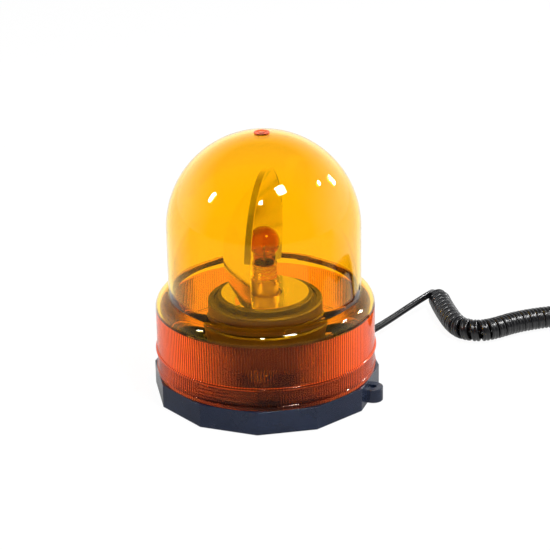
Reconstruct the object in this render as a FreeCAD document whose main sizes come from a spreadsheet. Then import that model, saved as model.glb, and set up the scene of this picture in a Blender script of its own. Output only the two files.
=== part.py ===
import FreeCAD, Part
import math
import os

import Sketcher
from FreeCAD import Placement, Rotation, Vector

# Amber rotating beacon on a magnetic base, with a curly cord and a 12 V socket plug.
#
# Frame: millimetres, +Z up, origin at the middle of the magnet pad's underside.
# A corner of the twelve-sided base points along -Y.  The lens turns about +Z to open,
# the reflector turns about +Z on the hollow centre post, and the bulb stands still.

doc = FreeCAD.newDocument("rotating_beacon")
sheet = doc.addObject("Spreadsheet::Sheet", "dims")

SIZES = {
    # magnet pad, cup and magnet
    "pad_radius": 37.4,
    "pad_thickness": 1.6,
    "pad_lip_height": 3.4,
    "cup_radius": 36.0,
    "cup_wall": 1.4,
    "magnet_radius": 33.6,
    "magnet_bore": 11.0,
    "magnet_height": 8.4,
    # base pan
    "base_corner_radius": 67.5,
    "base_rim_lift": 0.8,
    "base_deck_top": 15.0,
    "base_deck": 2.5,
    "base_wall": 2.6,
    "base_rib": 1.6,
    "cup_ring_height": 5.0,
    "cup_ring_wall": 2.0,
    "spigot_room": 3.0,
    "spigot_wall": 2.4,
    "spigot_height": 11.0,
    "hook_reach": 1.9,
    "hook_height": 2.2,
    "lug_length": 7.5,
    "lug_radius": 6.0,
    "lug_height": 8.2,
    "lug_bore": 2.1,
    "cord_exit_height": 7.2,
    # screws
    "bolt_radius": 3.0,
    "bolt_head_radius": 5.4,
    "bolt_head_height": 3.4,
    "nut_width": 10.0,
    "nut_height": 5.0,
    "washer_radius": 6.2,
    "washer_height": 1.2,
    "screw_radius": 1.4,
    "screw_head_radius": 2.9,
    "screw_head_height": 2.0,
    "small_screw_radius": 1.0,
    "small_head_radius": 1.9,
    "small_head_height": 1.3,
    # lens
    "seal_width": 2.2,
    "seal_depth": 1.5,
    "seat_gap": 0.3,
    "skirt_radius": 65.0,
    "skirt_wall": 2.5,
    "skirt_lip": 0.5,
    "skirt_lip_height": 2.4,
    "bead_height": 28.4,
    "bead_radius": 0.9,
    "shoulder_start": 54.2,
    "shoulder_top": 63.0,
    "dome_radius": 57.0,
    "dome_centre": 103.0,
    "dome_wall": 2.2,
    "gate_radius": 4.6,
    "gate_height": 0.7,
    "rib_count": 240.0,
    "rib_depth": 0.55,
    "rib_seat": 0.1,
    "rib_gap": 1.6,
    "bayonet_rise": 3.9,
    "bayonet_height": 2.2,
    "bayonet_gap": 0.4,
    # motor housing
    "housing_radius": 35.5,
    "housing_wall": 1.3,
    "housing_foot": 20.0,
    "housing_top": 47.0,
    "housing_plate": 2.0,
    "ear_radius": 4.6,
    "ear_circle": 41.5,
    "ear_thickness": 2.6,
    "boss_radius": 4.2,
    # centre post, bush and rings
    "post_radius": 9.5,
    "post_bore": 8.35,
    "post_flange": 13.0,
    "post_flange_thickness": 1.8,
    "post_top": 60.8,
    "post_seat": 49.0,
    "run_gap": 0.05,
    "thrust_radius": 13.6,
    "thrust_thickness": 0.5,
    "bush_radius": 11.5,
    "bush_top": 59.2,
    "clip_thickness": 0.8,
    "clip_radius": 11.2,
    "clip_depth": 0.6,
    # turntable
    "drum_radius": 34.0,
    "drum_bottom": 48.3,
    "drum_top": 58.4,
    "drum_plate": 2.0,
    "recess_outer": 30.6,
    "recess_depth": 1.4,
    "platform_radius": 28.2,
    "platform_top": 61.0,
    "hub_radius": 14.0,
    "clip_room": 12.3,
    # gears
    "gear_module": 0.8,
    "ring_teeth": 76.0,
    "pinion_teeth": 12.0,
    "gear_addendum": 0.68,
    "gear_dedendum": 0.92,
    "ring_root_gap": 0.25,
    "gear_backlash": 0.12,
    "pinion_bottom": 49.2,
    "pinion_height": 6.4,
    # motor
    "motor_radius": 10.0,
    "motor_flat": 7.55,
    "motor_length": 20.5,
    "motor_nose_radius": 3.0,
    "motor_nose_height": 1.5,
    "motor_cap_height": 3.0,
    "motor_screw_offset": 7.6,
    "shaft_radius": 1.0,
    "shaft_depth": 8.0,
    "terminal_width": 2.0,
    "terminal_length": 3.0,
    "terminal_thickness": 0.4,
    # reflector
    "reflector_focal": 22.4,
    "reflector_height": 88.5,
    "reflector_front": 1.8,
    "reflector_wall": 1.2,
    "reflector_cut": 66.2,
    "reflector_lip_depth": 3.2,
    "reflector_lip_start": 98.0,
    "plate_radius": 26.0,
    "plate_thickness": 0.9,
    "plate_bore": 10.4,
    "foot_wall": 1.4,
    "reflector_boss_radius": 2.4,
    "reflector_boss_circle": 17.0,
    "reflector_boss_drop": 2.6,
    # bulb and holder
    "holder_radius": 8.25,
    "holder_bore": 7.72,
    "holder_top": 71.6,
    "holder_seat": 50.2,
    "slot_width": 2.3,
    "cap_radius": 7.55,
    "cap_bottom": 60.4,
    "cap_top": 80.4,
    "pin_height": 69.0,
    "pin_radius": 1.0,
    "pin_reach": 8.8,
    "contact_radius": 2.2,
    "contact_drop": 0.9,
    "glass_neck_radius": 6.6,
    "globe_radius": 9.3,
    "globe_centre": 93.2,
    "glass_wall": 0.7,
    "filament_height": 88.5,
    "filament_length": 5.6,
    "filament_radius": 0.6,
    "support_radius": 0.35,
    "plunger_radius": 3.2,
    "plunger_stem": 1.6,
    "plunger_gap": 0.1,
    "insulator_height": 2.4,
    "insulator_bore": 4.4,
    "spring_radius": 2.6,
    "spring_wire": 0.35,
    # grommet and cord
    "cord_radius": 2.5,
    "grommet_radius": 5.2,
    "grommet_neck": 3.8,
    "grommet_flange": 1.6,
    "grommet_nose": 4.6,
    "coil_radius": 7.0,
    "floor_gap": 0.05,
    # plug
    "plug_axis_height": 12.1,
    "plug_grip_radius": 12.0,
    "plug_grip_length": 34.0,
    "plug_barrel_radius": 10.4,
    "plug_barrel_length": 40.0,
    "plug_neck_radius": 5.0,
    "plug_neck_length": 16.0,
    "plug_bore": 5.2,
    "grip_groove_width": 1.8,
    "grip_groove_depth": 0.8,
    "nose_ring_length": 7.0,
    "nose_ring_bore": 4.2,
    "tip_radius": 3.6,
    "tip_reach": 4.2,
    "tip_travel": 3.0,
    "plug_side_travel": 1.2,
    "fuse_radius": 3.0,
    "fuse_length": 30.0,
    "side_contact_width": 4.0,
    "side_contact_length": 20.0,
    "side_contact_thickness": 0.6,
    "side_contact_reach": 0.9,
}

for row, (name, value) in enumerate(SIZES.items(), start=1):
    sheet.set("A%d" % row, name)
    sheet.set("B%d" % row, str(value))
    sheet.setAlias("B%d" % row, name)
doc.recompute()

# Angles that only say which way a piece faces, in degrees about +Z.
LUG_ANGLE = -15.0
CORD_ANGLE = 45.0
MOTOR_ANGLE = 105.0
REFLECTOR_ANGLE = -7.0
PIN_ANGLE = -33.0
HOOK_HALF_ANGLE = 8.0
BAYONET_HALF_ANGLE = 6.0
PLAIN_WINDOW = (-90.0, -78.0)
GRIP_GROOVES = 5
STOP_ANGLE = -6.8
STOP_WIDTH = 2.0
BASE_SIDES = 12


class Size:
    """A size and the spreadsheet expression that it comes from."""

    def __init__(self, value, text):
        self.value = value
        self.text = text

    @staticmethod
    def of(thing):
        return thing if isinstance(thing, Size) else Size(float(thing), "%.9g" % thing)

    def __add__(self, other):
        other = Size.of(other)
        return Size(self.value + other.value, "(%s + %s)" % (self.text, other.text))

    def __sub__(self, other):
        other = Size.of(other)
        return Size(self.value - other.value, "(%s - %s)" % (self.text, other.text))

    def __mul__(self, factor):
        factor = Size.of(factor)
        return Size(self.value * factor.value, "(%s * %s)" % (self.text, factor.text))

    def __truediv__(self, factor):
        factor = Size.of(factor)
        return Size(self.value / factor.value, "(%s / %s)" % (self.text, factor.text))

    def __neg__(self):
        return Size(-self.value, "(-1 * %s)" % self.text)

    __radd__ = __add__
    __rmul__ = __mul__

    def __rsub__(self, other):
        return Size.of(other) - self


class Dims:
    """Reads dims.NAME as a Size."""

    def __getattr__(self, name):
        return Size(float(SIZES[name]), "dims." + name)


d = Dims()


def spigot_radius():
    """The base's spigot stands inside the lens skirt with room for the bayonet hooks."""
    return d.skirt_radius - d.skirt_wall - d.spigot_room


def shoulder_radius():
    """Radius of the arc that leaves the skirt upright and meets the dome."""
    width = d.skirt_radius - d.dome_radius
    rise = d.shoulder_top - d.shoulder_start
    return (width * width + rise * rise) / (width * 2)
pieces = []


# ---------------------------------------------------------------- helpers

def keep(piece, label):
    """Name a finished sub-part and list it for export."""
    piece.Label = label
    pieces.append(piece)
    return piece


def bind(thing, path, size):
    """Tie one property to the spreadsheet."""
    size = Size.of(size)
    thing.setExpression(path, size.text)


def polar(radius, degrees):
    """The point at a radius and an angle, as two sizes."""
    angle = math.radians(degrees)
    radius = Size.of(radius)
    return radius * math.cos(angle), radius * math.sin(angle)


def new_body(label):
    return keep(doc.addObject("PartDesign::Body", label), label)


def origin_plane(body, role):
    return next(item for item in body.Origin.OriginFeatures if item.Role == role)


def new_sketch(body, role="XY_Plane", height=0):
    """A sketch on one of the body's origin planes, moved along that plane's normal."""
    sketch = body.newObject("Sketcher::SketchObject", "outline")
    sketch.AttachmentSupport = [(origin_plane(body, role), "")]
    sketch.MapMode = "FlatFace"
    bind(sketch, ".AttachmentOffset.Base.z", height)
    return sketch


def side_sketch(body, degrees, distance=0):
    """An upright sketch facing outwards at an angle, at a distance from the Z axis."""
    sketch = body.newObject("Sketcher::SketchObject", "outline")
    sketch.AttachmentSupport = [(origin_plane(body, "YZ_Plane"), "")]
    sketch.MapMode = "FlatFace"
    sketch.AttachmentOffset = Placement(Vector(), Rotation(Vector(0, 1, 0), degrees))
    out, across = polar(distance, degrees)
    bind(sketch, ".AttachmentOffset.Base.x", across)
    bind(sketch, ".AttachmentOffset.Base.z", out)
    return sketch


def draw_loop(sketch, corners):
    """Draw a closed outline.

    Each corner is (x, y) or (x, y, radius).  With a radius the side that starts at the
    corner is an arc: its centre is on the left for a positive radius, else on the right.
    """
    corners = [tuple(Size.of(item) for item in corner) for corner in corners]
    first = sketch.GeometryCount
    count = len(corners)
    ends = []  # which end of each side is its start, in the sketch's own numbering
    for index, corner in enumerate(corners):
        start = Vector(corner[0].value, corner[1].value, 0)
        after = corners[(index + 1) % count]
        end = Vector(after[0].value, after[1].value, 0)
        if len(corner) == 2:
            sketch.addGeometry(Part.LineSegment(start, end), False)
            ends.append((1, 2))
            continue
        radius = corner[2].value
        half = (end - start) * 0.5
        left = Vector(-half.y, half.x, 0).normalize() * math.copysign(1.0, radius)
        rise = math.sqrt(max(radius * radius - half.Length ** 2, 0.0))
        centre = start + half + left * rise
        middle = centre - left * abs(radius)
        anticlockwise = radius > 0
        arc = (start, middle, end) if anticlockwise else (end, middle, start)
        sketch.addGeometry(Part.Arc(*arc), False)
        ends.append((1, 2) if anticlockwise else (2, 1))
    for index in range(count):
        after = (index + 1) % count
        sketch.addConstraint(Sketcher.Constraint(
            "Coincident", first + index, ends[index][1], first + after, ends[after][0]))
    for index, corner in enumerate(corners):
        for kind, size in (("DistanceX", corner[0]), ("DistanceY", corner[1])):
            tie = Sketcher.Constraint(kind, -1, 1, first + index, ends[index][0], size.value)
            bind(sketch, "Constraints[%d]" % sketch.addConstraint(tie), size)
        if len(corner) == 3:
            radius = corner[2] if corner[2].value > 0 else -corner[2]
            tie = Sketcher.Constraint("Radius", first + index, radius.value)
            bind(sketch, "Constraints[%d]" % sketch.addConstraint(tie), radius)
    return sketch


def draw_circle(sketch, radius, x=0, y=0):
    """Draw a circle whose centre and radius come from the spreadsheet."""
    x, y, radius = Size.of(x), Size.of(y), Size.of(radius)
    shape = Part.Circle(Vector(x.value, y.value, 0), Vector(0, 0, 1), radius.value)
    index = sketch.addGeometry(shape, False)
    for kind, size in (("DistanceX", x), ("DistanceY", y)):
        tie = Sketcher.Constraint(kind, -1, 1, index, 3, size.value)
        bind(sketch, "Constraints[%d]" % sketch.addConstraint(tie), size)
    tie = Sketcher.Constraint("Radius", index, radius.value)
    bind(sketch, "Constraints[%d]" % sketch.addConstraint(tie), radius)
    return sketch


def rectangle(x_low, x_high, y_low, y_high):
    return [(x_low, y_low), (x_high, y_low), (x_high, y_high), (x_low, y_high)]


def sector(inner, outer, start, end):
    """A ring segment between two radii and two angles."""
    return [
        polar(inner, start),
        polar(outer, start) + (outer,),
        polar(outer, end),
        polar(inner, end) + (-inner,),
    ]


def polygon(radius, sides, first_angle):
    step = 360.0 / sides
    return [polar(radius, first_angle + step * index) for index in range(sides)]


def revolve(body, corners, kind="PartDesign::Revolution"):
    """Turn an outline of (radius, height) corners about the body's Z axis."""
    sketch = draw_loop(new_sketch(body, "XZ_Plane"), corners)
    feature = body.newObject(kind, "turned")
    feature.Profile = sketch
    feature.ReferenceAxis = (sketch, ["V_Axis"])
    feature.Angle = 360
    body.Tip = feature
    return feature


def pad(body, sketch, length, down=False):
    feature = body.newObject("PartDesign::Pad", "pad")
    feature.Profile = sketch
    bind(feature, "Length", length)
    feature.Reversed = down
    body.Tip = feature
    return feature


def pocket(body, sketch, depth, up=False):
    """Cut down from the sketch, or up from it."""
    feature = body.newObject("PartDesign::Pocket", "pocket")
    feature.Profile = sketch
    bind(feature, "Length", depth)
    feature.Reversed = up
    body.Tip = feature
    return feature


def repeat(body, feature, count):
    """Repeat a feature evenly about the body's Z axis."""
    pattern = body.newObject("PartDesign::PolarPattern", "pattern")
    pattern.Originals = [feature]
    pattern.Axis = (feature.Profile[0], ["N_Axis"])
    pattern.Angle = 360
    pattern.Occurrences = count
    body.Tip = pattern
    return pattern


def turned(label, corners):
    """A body made by one revolution of (radius, height) corners."""
    body = new_body(label)
    revolve(body, corners)
    return body


def ring(label, inner, outer, bottom, top):
    return turned(label, rectangle(inner, outer, bottom, top))


def cylinder(radius, length, bottom=0, x=0, y=0):
    """A plain upright cylinder, tied to the spreadsheet."""
    item = doc.addObject("Part::Cylinder", "cylinder")
    bind(item, "Radius", radius)
    bind(item, "Height", length)
    bind(item, "Placement.Base.x", x)
    bind(item, "Placement.Base.y", y)
    bind(item, "Placement.Base.z", bottom)
    return item


def fused(items):
    item = doc.addObject("Part::MultiFuse", "joined")
    item.Shapes = items
    return item


def upright_screw(radius, length, head_radius, head_height, head_bottom, x, y, head_up=True):
    """A cheese-head screw: the head sits at head_bottom and the shank points away from it."""
    head = cylinder(head_radius, head_height, head_bottom, x, y)
    shank_bottom = head_bottom - length if head_up else head_bottom + head_height
    shank = cylinder(radius, length, shank_bottom, x, y)
    return fused([head, shank])


def turn(piece, degrees):
    """Turn a finished piece about the Z axis of the frame."""
    piece.Placement = Placement(Vector(), Rotation(Vector(0, 0, 1), degrees))
    return piece


def shape_piece(label, shape):
    """A piece whose shape comes from Part's own functions."""
    item = doc.addObject("Part::Feature", label)
    item.Shape = shape
    return keep(item, label)


# ---------------------------------------------------------------- magnet

def make_magnet():
    cup_top = d.base_deck_top - d.base_deck
    rim = d.pad_thickness
    inside = cup_top - d.cup_wall
    turned("magnet_pad", [
        (0, 0), (d.pad_radius - 0.6, 0), (d.pad_radius, 0.6),
        (d.pad_radius, d.pad_thickness + d.pad_lip_height),
        (d.cup_radius, d.pad_thickness + d.pad_lip_height),
        (d.cup_radius, d.pad_thickness), (0, d.pad_thickness),
    ])
    turned("magnet_cup", [
        (d.bolt_radius, inside), (d.cup_radius - d.cup_wall, inside),
        (d.cup_radius - d.cup_wall, rim), (d.cup_radius, rim),
        (d.cup_radius, cup_top - 1), (d.cup_radius - 1, cup_top), (d.bolt_radius, cup_top),
    ])
    ring("ring_magnet", d.magnet_bore, d.magnet_radius, inside - d.magnet_height, inside)
    bolt_length = d.cup_wall + d.base_deck + d.washer_height + d.nut_height
    head_bottom = inside - d.bolt_head_height
    bolt = new_body("magnet_bolt")
    revolve(bolt, [
        (0, head_bottom), (d.bolt_head_radius - 1, head_bottom),
        (d.bolt_head_radius, head_bottom + 1), (d.bolt_head_radius, inside),
        (d.bolt_radius, inside), (d.bolt_radius, inside + bolt_length + 1),
        (0, inside + bolt_length + 1),
    ])
    drive = draw_loop(new_sketch(bolt, "XY_Plane", head_bottom),
                      rectangle(-d.bolt_head_radius, d.bolt_head_radius, -0.6, 0.6))
    pocket(bolt, drive, 1.4, up=True)
    ring("magnet_washer", d.bolt_radius, d.washer_radius,
         d.base_deck_top, d.base_deck_top + d.washer_height)
    nut = new_body("magnet_nut")
    outline = new_sketch(nut, "XY_Plane", d.base_deck_top + d.washer_height)
    draw_loop(outline, polygon(d.nut_width / math.sqrt(3.0), 6, 0))
    draw_circle(outline, d.bolt_radius)
    pad(nut, outline, d.nut_height)


# ---------------------------------------------------------------- base pan

def make_base_pan():
    body = new_body("base_pan")
    rim = d.base_rim_lift
    under_deck = d.base_deck_top - d.base_deck
    outside = draw_loop(new_sketch(body, "XY_Plane", rim),
                        polygon(d.base_corner_radius, BASE_SIDES, -90))
    pad(body, outside, d.base_deck_top - rim)
    inner_corner = d.base_corner_radius - d.base_wall / math.cos(math.pi / BASE_SIDES)
    hollow = draw_loop(new_sketch(body, "XY_Plane", rim), polygon(inner_corner, BASE_SIDES, -90))
    pocket(body, hollow, under_deck - rim, up=True)
    # ring round the magnet cup and the stiffening ribs that run out to the wall
    ring_inner = d.cup_radius + 0.2
    ring_outer = ring_inner + d.cup_ring_wall
    cup_ring = new_sketch(body, "XY_Plane", under_deck)
    draw_circle(cup_ring, ring_inner)
    draw_circle(cup_ring, ring_outer)
    pad(body, cup_ring, d.cup_ring_height, down=True)
    rib = draw_loop(new_sketch(body, "XY_Plane", under_deck), rectangle(
        ring_outer - 0.2, d.base_corner_radius - d.base_wall * 1.5,
        -d.base_rib / 2, d.base_rib / 2))
    repeat(body, pad(body, rib, d.cup_ring_height - 1, down=True), BASE_SIDES)
    # spigot that the lens skirt slips over, with the three bayonet hooks and their stops
    spigot = new_sketch(body, "XY_Plane", d.base_deck_top)
    draw_circle(spigot, spigot_radius())
    draw_circle(spigot, spigot_radius() - d.spigot_wall)
    pad(body, spigot, d.spigot_height)
    hook_outer = spigot_radius() + d.hook_reach
    hook_bottom = lens_bottom() + d.bayonet_rise + d.bayonet_height + d.seat_gap
    hook = draw_loop(new_sketch(body, "XY_Plane", hook_bottom), sector(
        spigot_radius() - 0.5, hook_outer, -HOOK_HALF_ANGLE, HOOK_HALF_ANGLE))
    repeat(body, pad(body, hook, d.hook_height), 3)
    stop = draw_loop(new_sketch(body, "XY_Plane", d.base_deck_top), sector(
        spigot_radius() - 0.5, hook_outer, STOP_ANGLE - STOP_WIDTH, STOP_ANGLE))
    repeat(body, pad(body, stop, hook_bottom - d.base_deck_top), 3)
    # groove for the seal
    revolve(body, rectangle(seal_middle() - d.seal_width / 2, seal_middle() + d.seal_width / 2,
                            d.base_deck_top - d.seal_depth, d.base_deck_top + 0.01),
            "PartDesign::Groove")
    # bosses that carry the motor housing
    boss_x, boss_y = polar(d.ear_circle, 30)
    boss = draw_circle(new_sketch(body, "XY_Plane", d.base_deck_top), d.boss_radius, boss_x, boss_y)
    repeat(body, pad(body, boss, d.housing_foot - d.base_deck_top), 3)
    pilot = draw_circle(new_sketch(body, "XY_Plane", d.housing_foot), d.screw_radius, boss_x, boss_y)
    repeat(body, pocket(body, pilot, d.housing_foot - under_deck - 1), 3)
    # middle hole for the magnet bolt, and the way in for the cord's two cores
    bolt_hole = draw_circle(new_sketch(body, "XY_Plane", d.base_deck_top), d.bolt_radius)
    pocket(body, bolt_hole, d.base_deck)
    core_x, core_y = polar(d.ear_circle + 8, CORD_ANGLE)
    core_hole = draw_circle(new_sketch(body, "XY_Plane", d.base_deck_top), d.cord_radius,
                            core_x, core_y)
    pocket(body, core_hole, d.base_deck)
    make_screw_lug(body)
    make_cord_hole(body)
    return body


def lens_bottom():
    return d.base_deck_top + d.seat_gap


def seal_middle():
    return d.skirt_radius - d.skirt_wall / 2 - 0.1


def flat_distance():
    """Distance from the middle of the base to one of its flat sides."""
    return d.base_corner_radius * math.cos(math.pi / BASE_SIDES)


def make_screw_lug(body):
    """A rounded lug low on one flat, with an upright screw hole."""
    flat = flat_distance()
    middle = flat + d.lug_length - d.lug_radius
    outline = new_sketch(body, "XY_Plane", d.base_rim_lift)
    outline.AttachmentOffset = Placement(Vector(), Rotation(Vector(0, 0, 1), LUG_ANGLE))
    draw_loop(outline, [
        (flat - 1, -d.lug_radius), (middle, -d.lug_radius, d.lug_radius),
        (middle + d.lug_radius, 0, d.lug_radius), (middle, d.lug_radius),
        (flat - 1, d.lug_radius),
    ])
    pad(body, outline, d.lug_height)
    bore = new_sketch(body, "XY_Plane", d.base_rim_lift)
    bore.AttachmentOffset = Placement(Vector(), Rotation(Vector(0, 0, 1), LUG_ANGLE))
    draw_circle(bore, d.lug_bore, middle, 0)
    pocket(body, bore, d.lug_height, up=True)


def make_cord_hole(body):
    """A round hole through one flat, for the grommet."""
    hole = side_sketch(body, CORD_ANGLE, flat_distance() - d.base_wall * 2)
    draw_circle(hole, d.grommet_neck, 0, d.cord_exit_height)
    pocket(body, hole, d.base_wall * 3, up=True)


def make_seal():
    ring("lens_seal", seal_middle() - d.seal_width / 2 + 0.05, seal_middle() + d.seal_width / 2 - 0.05,
         d.base_deck_top - d.seal_depth, d.base_deck_top)


# ---------------------------------------------------------------- lens

def make_lens():
    """Domed lens with a ribbed skirt, a bead, a gate mark and three bayonet lugs inside."""
    body = new_body("lens_wall")
    pieces.remove(body)
    bottom = lens_bottom()
    skirt_in = d.skirt_radius - d.skirt_wall
    lip = d.skirt_radius + d.skirt_lip
    bead_low = d.bead_height - d.bead_radius
    bead_high = d.bead_height + d.bead_radius
    inner_dome = d.dome_radius - d.dome_wall
    inner_shoulder = shoulder_radius() - d.skirt_wall
    revolve(body, [
        (skirt_in, bottom), (lip, bottom), (lip, bottom + d.skirt_lip_height - d.skirt_lip),
        (d.skirt_radius, bottom + d.skirt_lip_height),
        (d.skirt_radius, bead_low), (d.skirt_radius + d.bead_radius / 2, bead_low + 0.3),
        (d.skirt_radius + d.bead_radius / 2, bead_high - 0.3), (d.skirt_radius, bead_high),
        (d.skirt_radius, d.shoulder_start, shoulder_radius()), (d.dome_radius, d.shoulder_top),
        (d.dome_radius, d.dome_centre, d.dome_radius),
        (0, d.dome_centre + d.dome_radius),
        (0, d.dome_centre + inner_dome, -inner_dome),
        (inner_dome, d.dome_centre), (inner_dome, d.shoulder_top - d.dome_wall),
        (d.dome_radius, d.shoulder_top - d.dome_wall, -inner_shoulder),
        (skirt_in, d.shoulder_start),
    ])
    gate = draw_circle(new_sketch(body, "XY_Plane", d.dome_centre + d.dome_radius - 1), d.gate_radius)
    pad(body, gate, 1 + d.gate_height)
    gate_recess = new_sketch(body, "XY_Plane", d.dome_centre + d.dome_radius + d.gate_height)
    draw_circle(gate_recess, d.gate_radius * 0.7)
    draw_circle(gate_recess, d.gate_radius * 0.45)
    pocket(body, gate_recess, d.gate_height / 2)
    lug = draw_loop(new_sketch(body, "XY_Plane", bottom + d.bayonet_rise), sector(
        spigot_radius() + d.bayonet_gap, skirt_in + 0.5, -BAYONET_HALF_ANGLE, BAYONET_HALF_ANGLE))
    repeat(body, pad(body, lug, d.bayonet_height), 3)
    lower = rib_ring(bottom + d.rib_gap, d.bead_height - d.rib_gap / 2, True)
    upper = rib_ring(d.bead_height + d.rib_gap / 2, d.shoulder_start - d.rib_gap / 2, False)
    keep(fused([body, lower, upper]), "lens")


def rib_ring(low, high, windowed):
    """Upright V ribs all round the skirt's inner wall; a windowed ring has a plain stretch."""
    inner_wall = (d.skirt_radius - d.skirt_wall).value
    valley = inner_wall - d.rib_seat.value
    half_turns = 2 * int(d.rib_count.value)
    corners = []
    for index in range(half_turns):
        degrees = 360.0 * index / half_turns - 180.0
        plain = windowed and PLAIN_WINDOW[0] < degrees < PLAIN_WINDOW[1]
        reach = valley if plain or index % 2 == 0 else valley - d.rib_depth.value
        angle = math.radians(degrees)
        corners.append(Vector(reach * math.cos(angle), reach * math.sin(angle), 0))
    toothed = Part.Face(Part.makePolygon(corners + corners[:1]))
    height = (high - low).value
    ribs = Part.makeCylinder(inner_wall + d.rib_seat.value, height)
    ribs = ribs.cut(toothed.extrude(Vector(0, 0, height)))
    item = doc.addObject("Part::Feature", "rib_ring")
    item.Shape = ribs
    bind(item, "Placement.Base.z", low)
    return item


# ---------------------------------------------------------------- motor housing and post

def make_housing():
    """Upside-down cup with three screw ears; the motor hangs from its top plate."""
    body = new_body("motor_housing")
    under = d.housing_top - d.housing_plate
    wall_in = d.housing_radius - d.housing_wall
    revolve(body, [
        (wall_in, d.housing_foot), (d.housing_radius, d.housing_foot),
        (d.housing_radius, d.housing_top - 1.2), (d.housing_radius - 1.2, d.housing_top),
        (d.post_radius, d.housing_top), (d.post_radius, under), (wall_in, under),
    ])
    ear = new_sketch(body, "XY_Plane", d.housing_foot)
    ear.AttachmentOffset = Placement(Vector(), Rotation(Vector(0, 0, 1), 30))
    draw_loop(ear, [
        (wall_in + 0.4, -d.ear_radius), (d.ear_circle, -d.ear_radius, d.ear_radius),
        (d.ear_circle + d.ear_radius, 0, d.ear_radius), (d.ear_circle, d.ear_radius),
        (wall_in + 0.4, d.ear_radius),
    ])
    repeat(body, pad(body, ear, d.ear_thickness), 3)
    hole_x, hole_y = polar(d.ear_circle, 30)
    hole = draw_circle(new_sketch(body, "XY_Plane", d.housing_foot + d.ear_thickness),
                       d.screw_radius, hole_x, hole_y)
    repeat(body, pocket(body, hole, d.ear_thickness), 3)
    # holes for the motor's nose and its two screws
    motor_x, motor_y = polar(gear_distance(), MOTOR_ANGLE)
    holes = draw_circle(new_sketch(body, "XY_Plane", d.housing_top), d.motor_nose_radius,
                        motor_x, motor_y)
    for side in (-1, 1):
        x, y = motor_screw_place(side)
        draw_circle(holes, d.small_screw_radius, x, y)
    pocket(body, holes, d.housing_plate)
    screws = []
    for angle in (30, 150, 270):
        x, y = polar(d.ear_circle, angle)
        screws.append(upright_screw(
            d.screw_radius, d.ear_thickness + 4, d.screw_head_radius, d.screw_head_height,
            d.housing_foot + d.ear_thickness, x, y))
    keep(compound(screws), "housing_screws")


def compound(items):
    """Several equal separate solids in one node."""
    item = doc.addObject("Part::Compound", "group")
    item.Links = items
    return item


def make_post():
    """Hollow flanged post: it carries the turntable outside and the bulb holder inside."""
    under = d.housing_top - d.housing_plate
    clip_bottom = d.bush_top + 0.1
    turned("centre_post", [
        (d.post_bore - 1.6, under - d.post_flange_thickness),
        (d.post_flange, under - d.post_flange_thickness), (d.post_flange, under),
        (d.post_radius, under), (d.post_radius, clip_bottom),
        (d.post_radius - d.clip_depth, clip_bottom),
        (d.post_radius - d.clip_depth, clip_bottom + d.clip_thickness),
        (d.post_radius, clip_bottom + d.clip_thickness), (d.post_radius, d.post_top - 0.3),
        (d.post_radius - 0.3, d.post_top), (d.holder_radius, d.post_top),
        (d.holder_radius, d.post_seat), (d.post_bore - 1.6, d.post_seat),
    ])
    ring("thrust_washer", d.post_radius + d.run_gap, d.thrust_radius,
         d.housing_top, d.housing_top + d.thrust_thickness)
    clip = new_body("retaining_ring")
    opened = new_sketch(clip, "XY_Plane", clip_bottom)
    draw_loop(opened, ring_gap(d.post_radius - d.clip_depth, d.clip_radius, 35))
    pad(clip, opened, d.clip_thickness)


def ring_gap(inner, outer, gap):
    """A ring outline with an open gap, drawn as arcs of a third of a turn."""
    start, end = gap / 2.0, 360.0 - gap / 2.0
    step = (end - start) / 3.0
    out = [polar(outer, start + step * index) + (outer,) for index in range(3)]
    out.append(polar(outer, end))
    back = [polar(inner, end - step * index) + (-inner,) for index in range(3)]
    back.append(polar(inner, start))
    return out + back


# ---------------------------------------------------------------- gears and motor

def gear_distance():
    """Distance between the turntable's axis and the motor's."""
    return (d.ring_teeth - d.pinion_teeth) * d.gear_module / 2


def motor_screw_place(side):
    """One of the motor's two face screws, beside the shaft."""
    across = Vector(-math.sin(math.radians(MOTOR_ANGLE)), math.cos(math.radians(MOTOR_ANGLE)), 0)
    x, y = polar(gear_distance(), MOTOR_ANGLE)
    return x + d.motor_screw_offset * (side * across.x), y + d.motor_screw_offset * (side * across.y)


def involute_angle(base, radius):
    """The involute function at a radius, for a given base circle."""
    if radius <= base:
        return 0.0
    slope = math.sqrt((radius / base) ** 2 - 1.0)
    return slope - math.atan(slope)


def gear_outline(teeth, module, tip, root, play, height):
    """A closed wire of involute teeth; play is added to the thickness of each tooth."""
    pitch = teeth * module / 2.0
    base = pitch * math.cos(math.radians(20.0))
    half_at_pitch = math.pi / teeth / 2.0 + play / pitch / 2.0

    def half_angle(radius):
        return half_at_pitch + involute_angle(base, pitch) - involute_angle(base, radius)

    def point(radius, angle):
        return Vector(radius * math.cos(angle), radius * math.sin(angle), height)

    start = max(root, base)
    radii = [start + (tip - start) * step / 3.0 for step in range(4)]
    edges = []
    for index in range(teeth):
        middle = 2.0 * math.pi * index / teeth
        rise = [point(radius, middle - half_angle(radius)) for radius in radii]
        fall = [point(radius, middle + half_angle(radius)) for radius in reversed(radii)]
        if root < start:
            foot = point(root, middle - half_angle(start))
            edges.append(Part.LineSegment(foot, rise[0]).toShape())
        else:
            foot = rise[0]
        for side in (rise, fall):
            curve = Part.BSplineCurve()
            curve.interpolate(side)
            edges.append(curve.toShape())
            if side is rise:
                edges.append(Part.Arc(rise[-1], point(tip, middle), fall[0]).toShape())
        end = fall[-1]
        if root < start:
            end = point(root, middle + half_angle(start))
            edges.append(Part.LineSegment(fall[-1], end).toShape())
        gap_middle = middle + math.pi / teeth
        after = middle + 2.0 * math.pi / teeth
        next_foot = point(min(root, start), after - half_angle(start))
        edges.append(Part.Arc(end, point(min(root, start), gap_middle), next_foot).toShape())
    return Part.Wire(edges)


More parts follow.
